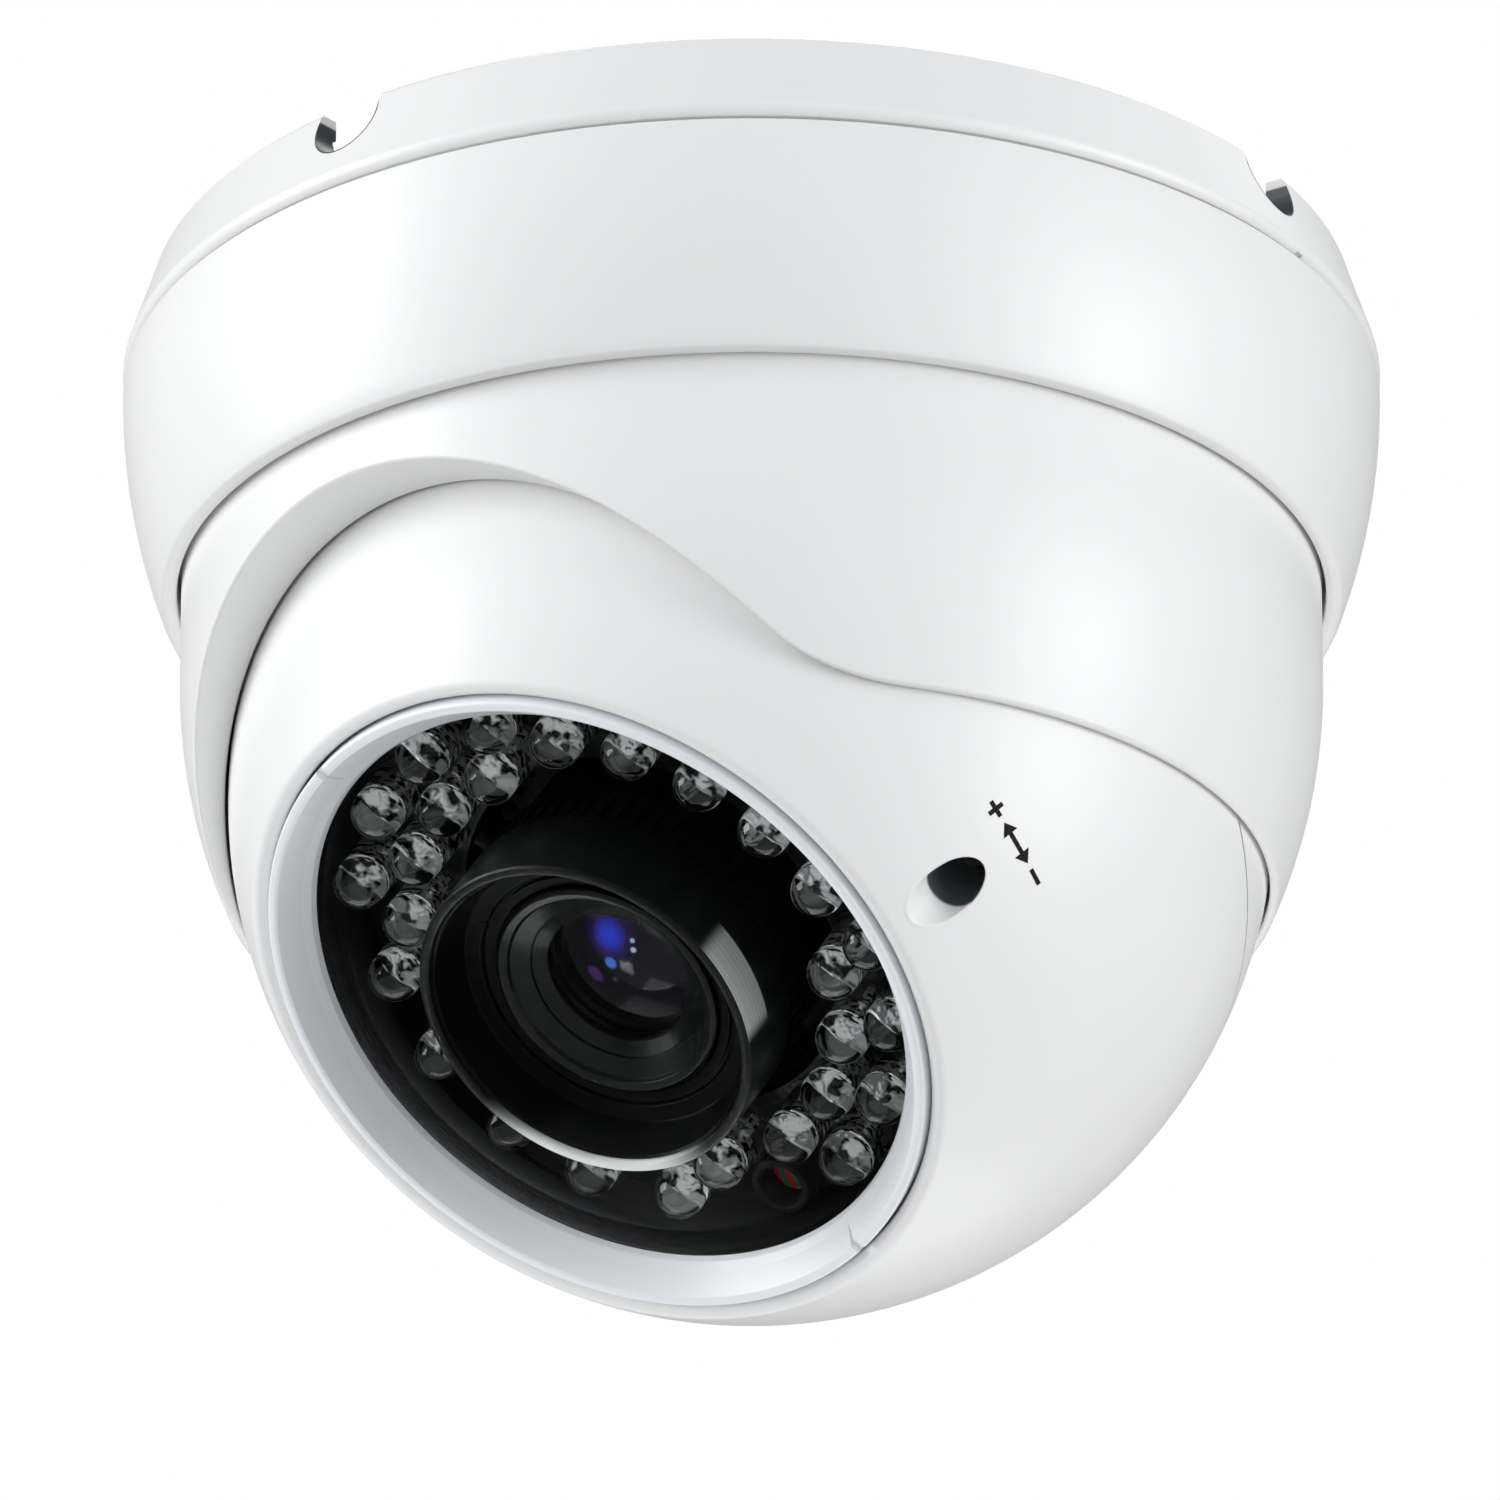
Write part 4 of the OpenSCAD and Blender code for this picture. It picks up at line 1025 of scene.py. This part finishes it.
class CAMERA_OT_stage(bpy.types.Operator):
    """Pale floor, soft light from all round, soft lamps and the camera"""

    bl_idname = "dome_camera.stage"
    bl_label = "Stage"

    def execute(self, context):
        s = context.scene.dome_stage
        scene = context.scene
        corners = [(x * FLOOR_HALF, y * FLOOR_HALF, FLOOR_Z) for x, y in ((-1, -1), (1, -1), (1, 1), (-1, 1))]
        floor = make_piece("floor", corners, [(0, 1, 2, 3)])
        floor.data.materials.append(pale_floor("pale_floor"))

        azimuth, elevation = math.radians(s.azimuth), math.radians(s.elevation)
        back_dir = Vector((math.sin(azimuth) * math.cos(elevation), -math.cos(azimuth) * math.cos(elevation),
                           math.sin(elevation)))
        right = Vector((math.cos(azimuth), math.sin(azimuth), 0))
        above = back_dir.cross(right)
        self.light_room(scene, s.fill, back_dir)
        for name, (sideways, upwards, towards), size, share in LAMPS:
            data = bpy.data.lights.new(name, "AREA")
            data.shape = "RECTANGLE"
            data.size, data.size_y = size
            data.energy = s.key * share
            light = bpy.data.objects.new(name, data)
            light.location = TARGET + (right * sideways + above * upwards + back_dir * towards)
            light.rotation_euler = (light.location - TARGET).to_track_quat("Z", "Y").to_euler()
            light.visible_camera = False
            scene.collection.objects.link(light)

        data = bpy.data.cameras.new("camera")
        data.sensor_width = 36
        data.lens = CAMERA_LENS
        data.clip_start = 0.05
        data.clip_end = 50
        camera = bpy.data.objects.new("camera", data)
        camera.location = TARGET + back_dir * CAMERA_DISTANCE
        camera.rotation_euler = Matrix((right, above, back_dir)).transposed().to_euler()
        scene.collection.objects.link(camera)
        scene.camera = camera
        scene.view_settings.view_transform = "Standard"
        return {"FINISHED"}

    @staticmethod
    def light_room(scene, fill, bright_side):
        """A white room whose light comes mostly from one side, dimmer in mirrors than on matt surfaces."""
        world = bpy.data.worlds.new("soft_room")
        world.use_nodes = True
        tree = world.node_tree
        sky = add_node(tree, "ShaderNodeTexCoord").outputs["Generated"]
        facing = add_node(tree, "ShaderNodeVectorMath", {0: sky, 1: bright_side}, operation="DOT_PRODUCT")
        strength = add_node(tree, "ShaderNodeMapRange", {
            "Value": facing.outputs["Value"], "From Min": -0.35, "From Max": 0.3, "To Min": fill * 0.2,
            "To Max": fill})
        path = add_node(tree, "ShaderNodeLightPath")
        dim = add_node(tree, "ShaderNodeMapRange", {
            "Value": path.outputs["Is Glossy Ray"], "To Min": 1.0, "To Max": 0.2})
        product = add_node(tree, "ShaderNodeMath", {
            0: strength.outputs["Result"], 1: dim.outputs["Result"]}, operation="MULTIPLY")
        room = add_node(tree, "ShaderNodeBackground", {
            "Color": (0.97, 0.985, 1, 1), "Strength": product.outputs["Value"]})
        plain = tree.nodes["Background"]
        plain.inputs["Color"].default_value = (1, 1, 1, 1)
        plain.inputs["Strength"].default_value = 1.0
        mix = add_node(tree, "ShaderNodeMixShader", {
            "Fac": path.outputs["Is Camera Ray"], 1: room.outputs["Background"], 2: plain.outputs["Background"]})
        tree.links.new(mix.outputs["Shader"], tree.nodes["World Output"].inputs["Surface"])
        scene.world = world


class CAMERA_PT_panel(bpy.types.Panel):
    """Sizes, colours and pieces of the camera"""

    bl_label = "Dome camera"
    bl_idname = "CAMERA_PT_panel"
    bl_space_type = "VIEW_3D"
    bl_region_type = "UI"
    bl_category = "Dome camera"

    def draw(self, context):
        scene = context.scene
        for group in (scene.dome_housing, scene.dome_lights, scene.dome_lens, scene.dome_stage):
            box = self.layout.box()
            for name in group.__annotations__:
                box.prop(group, name)
        for operator in OPERATORS:
            self.layout.operator(operator.bl_idname)


SETTINGS = {"dome_housing": HousingSettings, "dome_lights": LightsSettings, "dome_lens": LensSettings,
            "dome_stage": StageSettings}
OPERATORS = (
    CAMERA_OT_frame_finishes, CAMERA_OT_trim_ring, CAMERA_OT_pan_collar, CAMERA_OT_front_shell,
    CAMERA_OT_bezel, CAMERA_OT_marks, CAMERA_OT_window, CAMERA_OT_leds, CAMERA_OT_photocell,
    CAMERA_OT_lens, CAMERA_OT_stage,
)
PAINT = {}


def mix_finishes(scene):
    """Every material, by the name that the operators call it."""
    white, bezel = tuple(scene.dome_housing.paint), tuple(scene.dome_housing.bezel_paint)
    coating = tuple(scene.dome_lens.coating)
    PAINT.update({
        "white": satin_paint("white_powder_coat", white),
        # Painted shade in the base's notches and deep in the front shell's access holes
        "notched": satin_paint("white_powder_coat_shaded_notches", white, shaded_bores=[
            ((0, 0, NOTCH_Z * MM), (math.cos(turn), math.sin(turn), 0), NOTCH_R, None) for turn in NOTCH_TURNS]),
        "shell": satin_paint("white_powder_coat_shaded_bores", white, shaded_bores=[
            (in_window((side * ACCESS_PLACE[0], ACCESS_PLACE[1], 0)), DEPTH_AXIS, ACCESS_R + 0.1, ACCESS_SHADE_DEPTH)
            for side in (1, -1)]),
        "bezel": satin_paint("bezel_paint", bezel, 0.012, (0.3, 0.4)),
        "rubber": rubber("black_rubber"),
        "felt": felt("grey_felt"),
        "nylon": moulded_plastic("natural_nylon", (0.72, 0.7, 0.62)),
        "spring_steel": plated_steel("blued_spring_steel", (0.28, 0.29, 0.32)),
        "zinc": plated_steel("zinc_plated_steel", (0.62, 0.62, 0.6)),
        "black_plastic": moulded_plastic("black_moulding", (0.003, 0.003, 0.003), gloss=0.12),
        "connector": moulded_plastic("ivory_moulding", (0.75, 0.72, 0.6)),
        "black_anodised": turned_metal("black_anodised", (0.005, 0.0055, 0.0055), (0.26, 0.36), 0.2, gloss=0.3),
        "black_ring": turned_metal("black_anodised_ring", (0.004, 0.0048, 0.0045), (0.2, 0.3), 0.0, 3600,
                                   gloss=0.2, coat=0.12),
        # The hood's material carries painted highlights
        "hood": anodising_painted_highlights("anodising_painted_highlights", HOOD_PAINTED_HIGHLIGHTS),
        "black_throat": turned_metal("black_throat", (0.002, 0.0023, 0.002), (0.25, 0.35), 0.0, 3000, gloss=0.06),
        "brass": turned_metal("turned_brass", (0.72, 0.5, 0.22), (0.25, 0.4)),
        "board_black": circuit_board("black_board", (0.003, 0.003, 0.0035), (0.006, 0.0065, 0.0065)),
        "board_green": circuit_board("green_board", (0.01, 0.1, 0.03), (0.03, 0.2, 0.07)),
        "sensor": moulded_plastic("sensor_package", (0.05, 0.05, 0.07), (0.15, 0.25)),
        "window": clear_glass("clear_window", (0.97, 0.99, 0.985), 1.03, 0.4),
        "led": clear_glass("led_epoxy", (0.97, 0.98, 0.98), 1.5, 0.8, (0.9, 0.92, 0.92)),
        "led_frame": silvered_frame("silvered_frame"),
        "photocell": photocell_track("photocell_track"),
        "front_glass": clear_glass("coated_front_glass", (0.9, 0.9, 1.0), 1.2, 0.4, (0.8, 0.8, 0.95)),
        # The lens core's colours are painted reflections and highlights
        "lens_core": lens_core_painted_reflections("lens_core", (0.002, 0.001, 0.003), ((0.03, 0.01, 0.12), coating),
                                  (-0.3, 3.0, 26.5), 3.6, LENS_PAINTED_REFLECTIONS),
        "ink": printed_ink("black_ink"),
    })


def register():
    """Makes the panel, the operators and the scene's settings known to Blender."""
    for kind in (*SETTINGS.values(), *OPERATORS, CAMERA_PT_panel):
        bpy.utils.register_class(kind)
    for name, kind in SETTINGS.items():
        setattr(bpy.types.Scene, name, bpy.props.PointerProperty(type=kind))


def unregister():
    """Takes back what register did."""
    for name in SETTINGS:
        delattr(bpy.types.Scene, name)
    for kind in (CAMERA_PT_panel, *reversed(OPERATORS), *SETTINGS.values()):
        bpy.utils.unregister_class(kind)


def main():
    """Builds everything."""
    register()
    mix_finishes(bpy.context.scene)
    for operator in OPERATORS:
        group, name = operator.bl_idname.split(".")
        getattr(getattr(bpy.ops, group), name)()


if __name__ == "__main__":
    main()
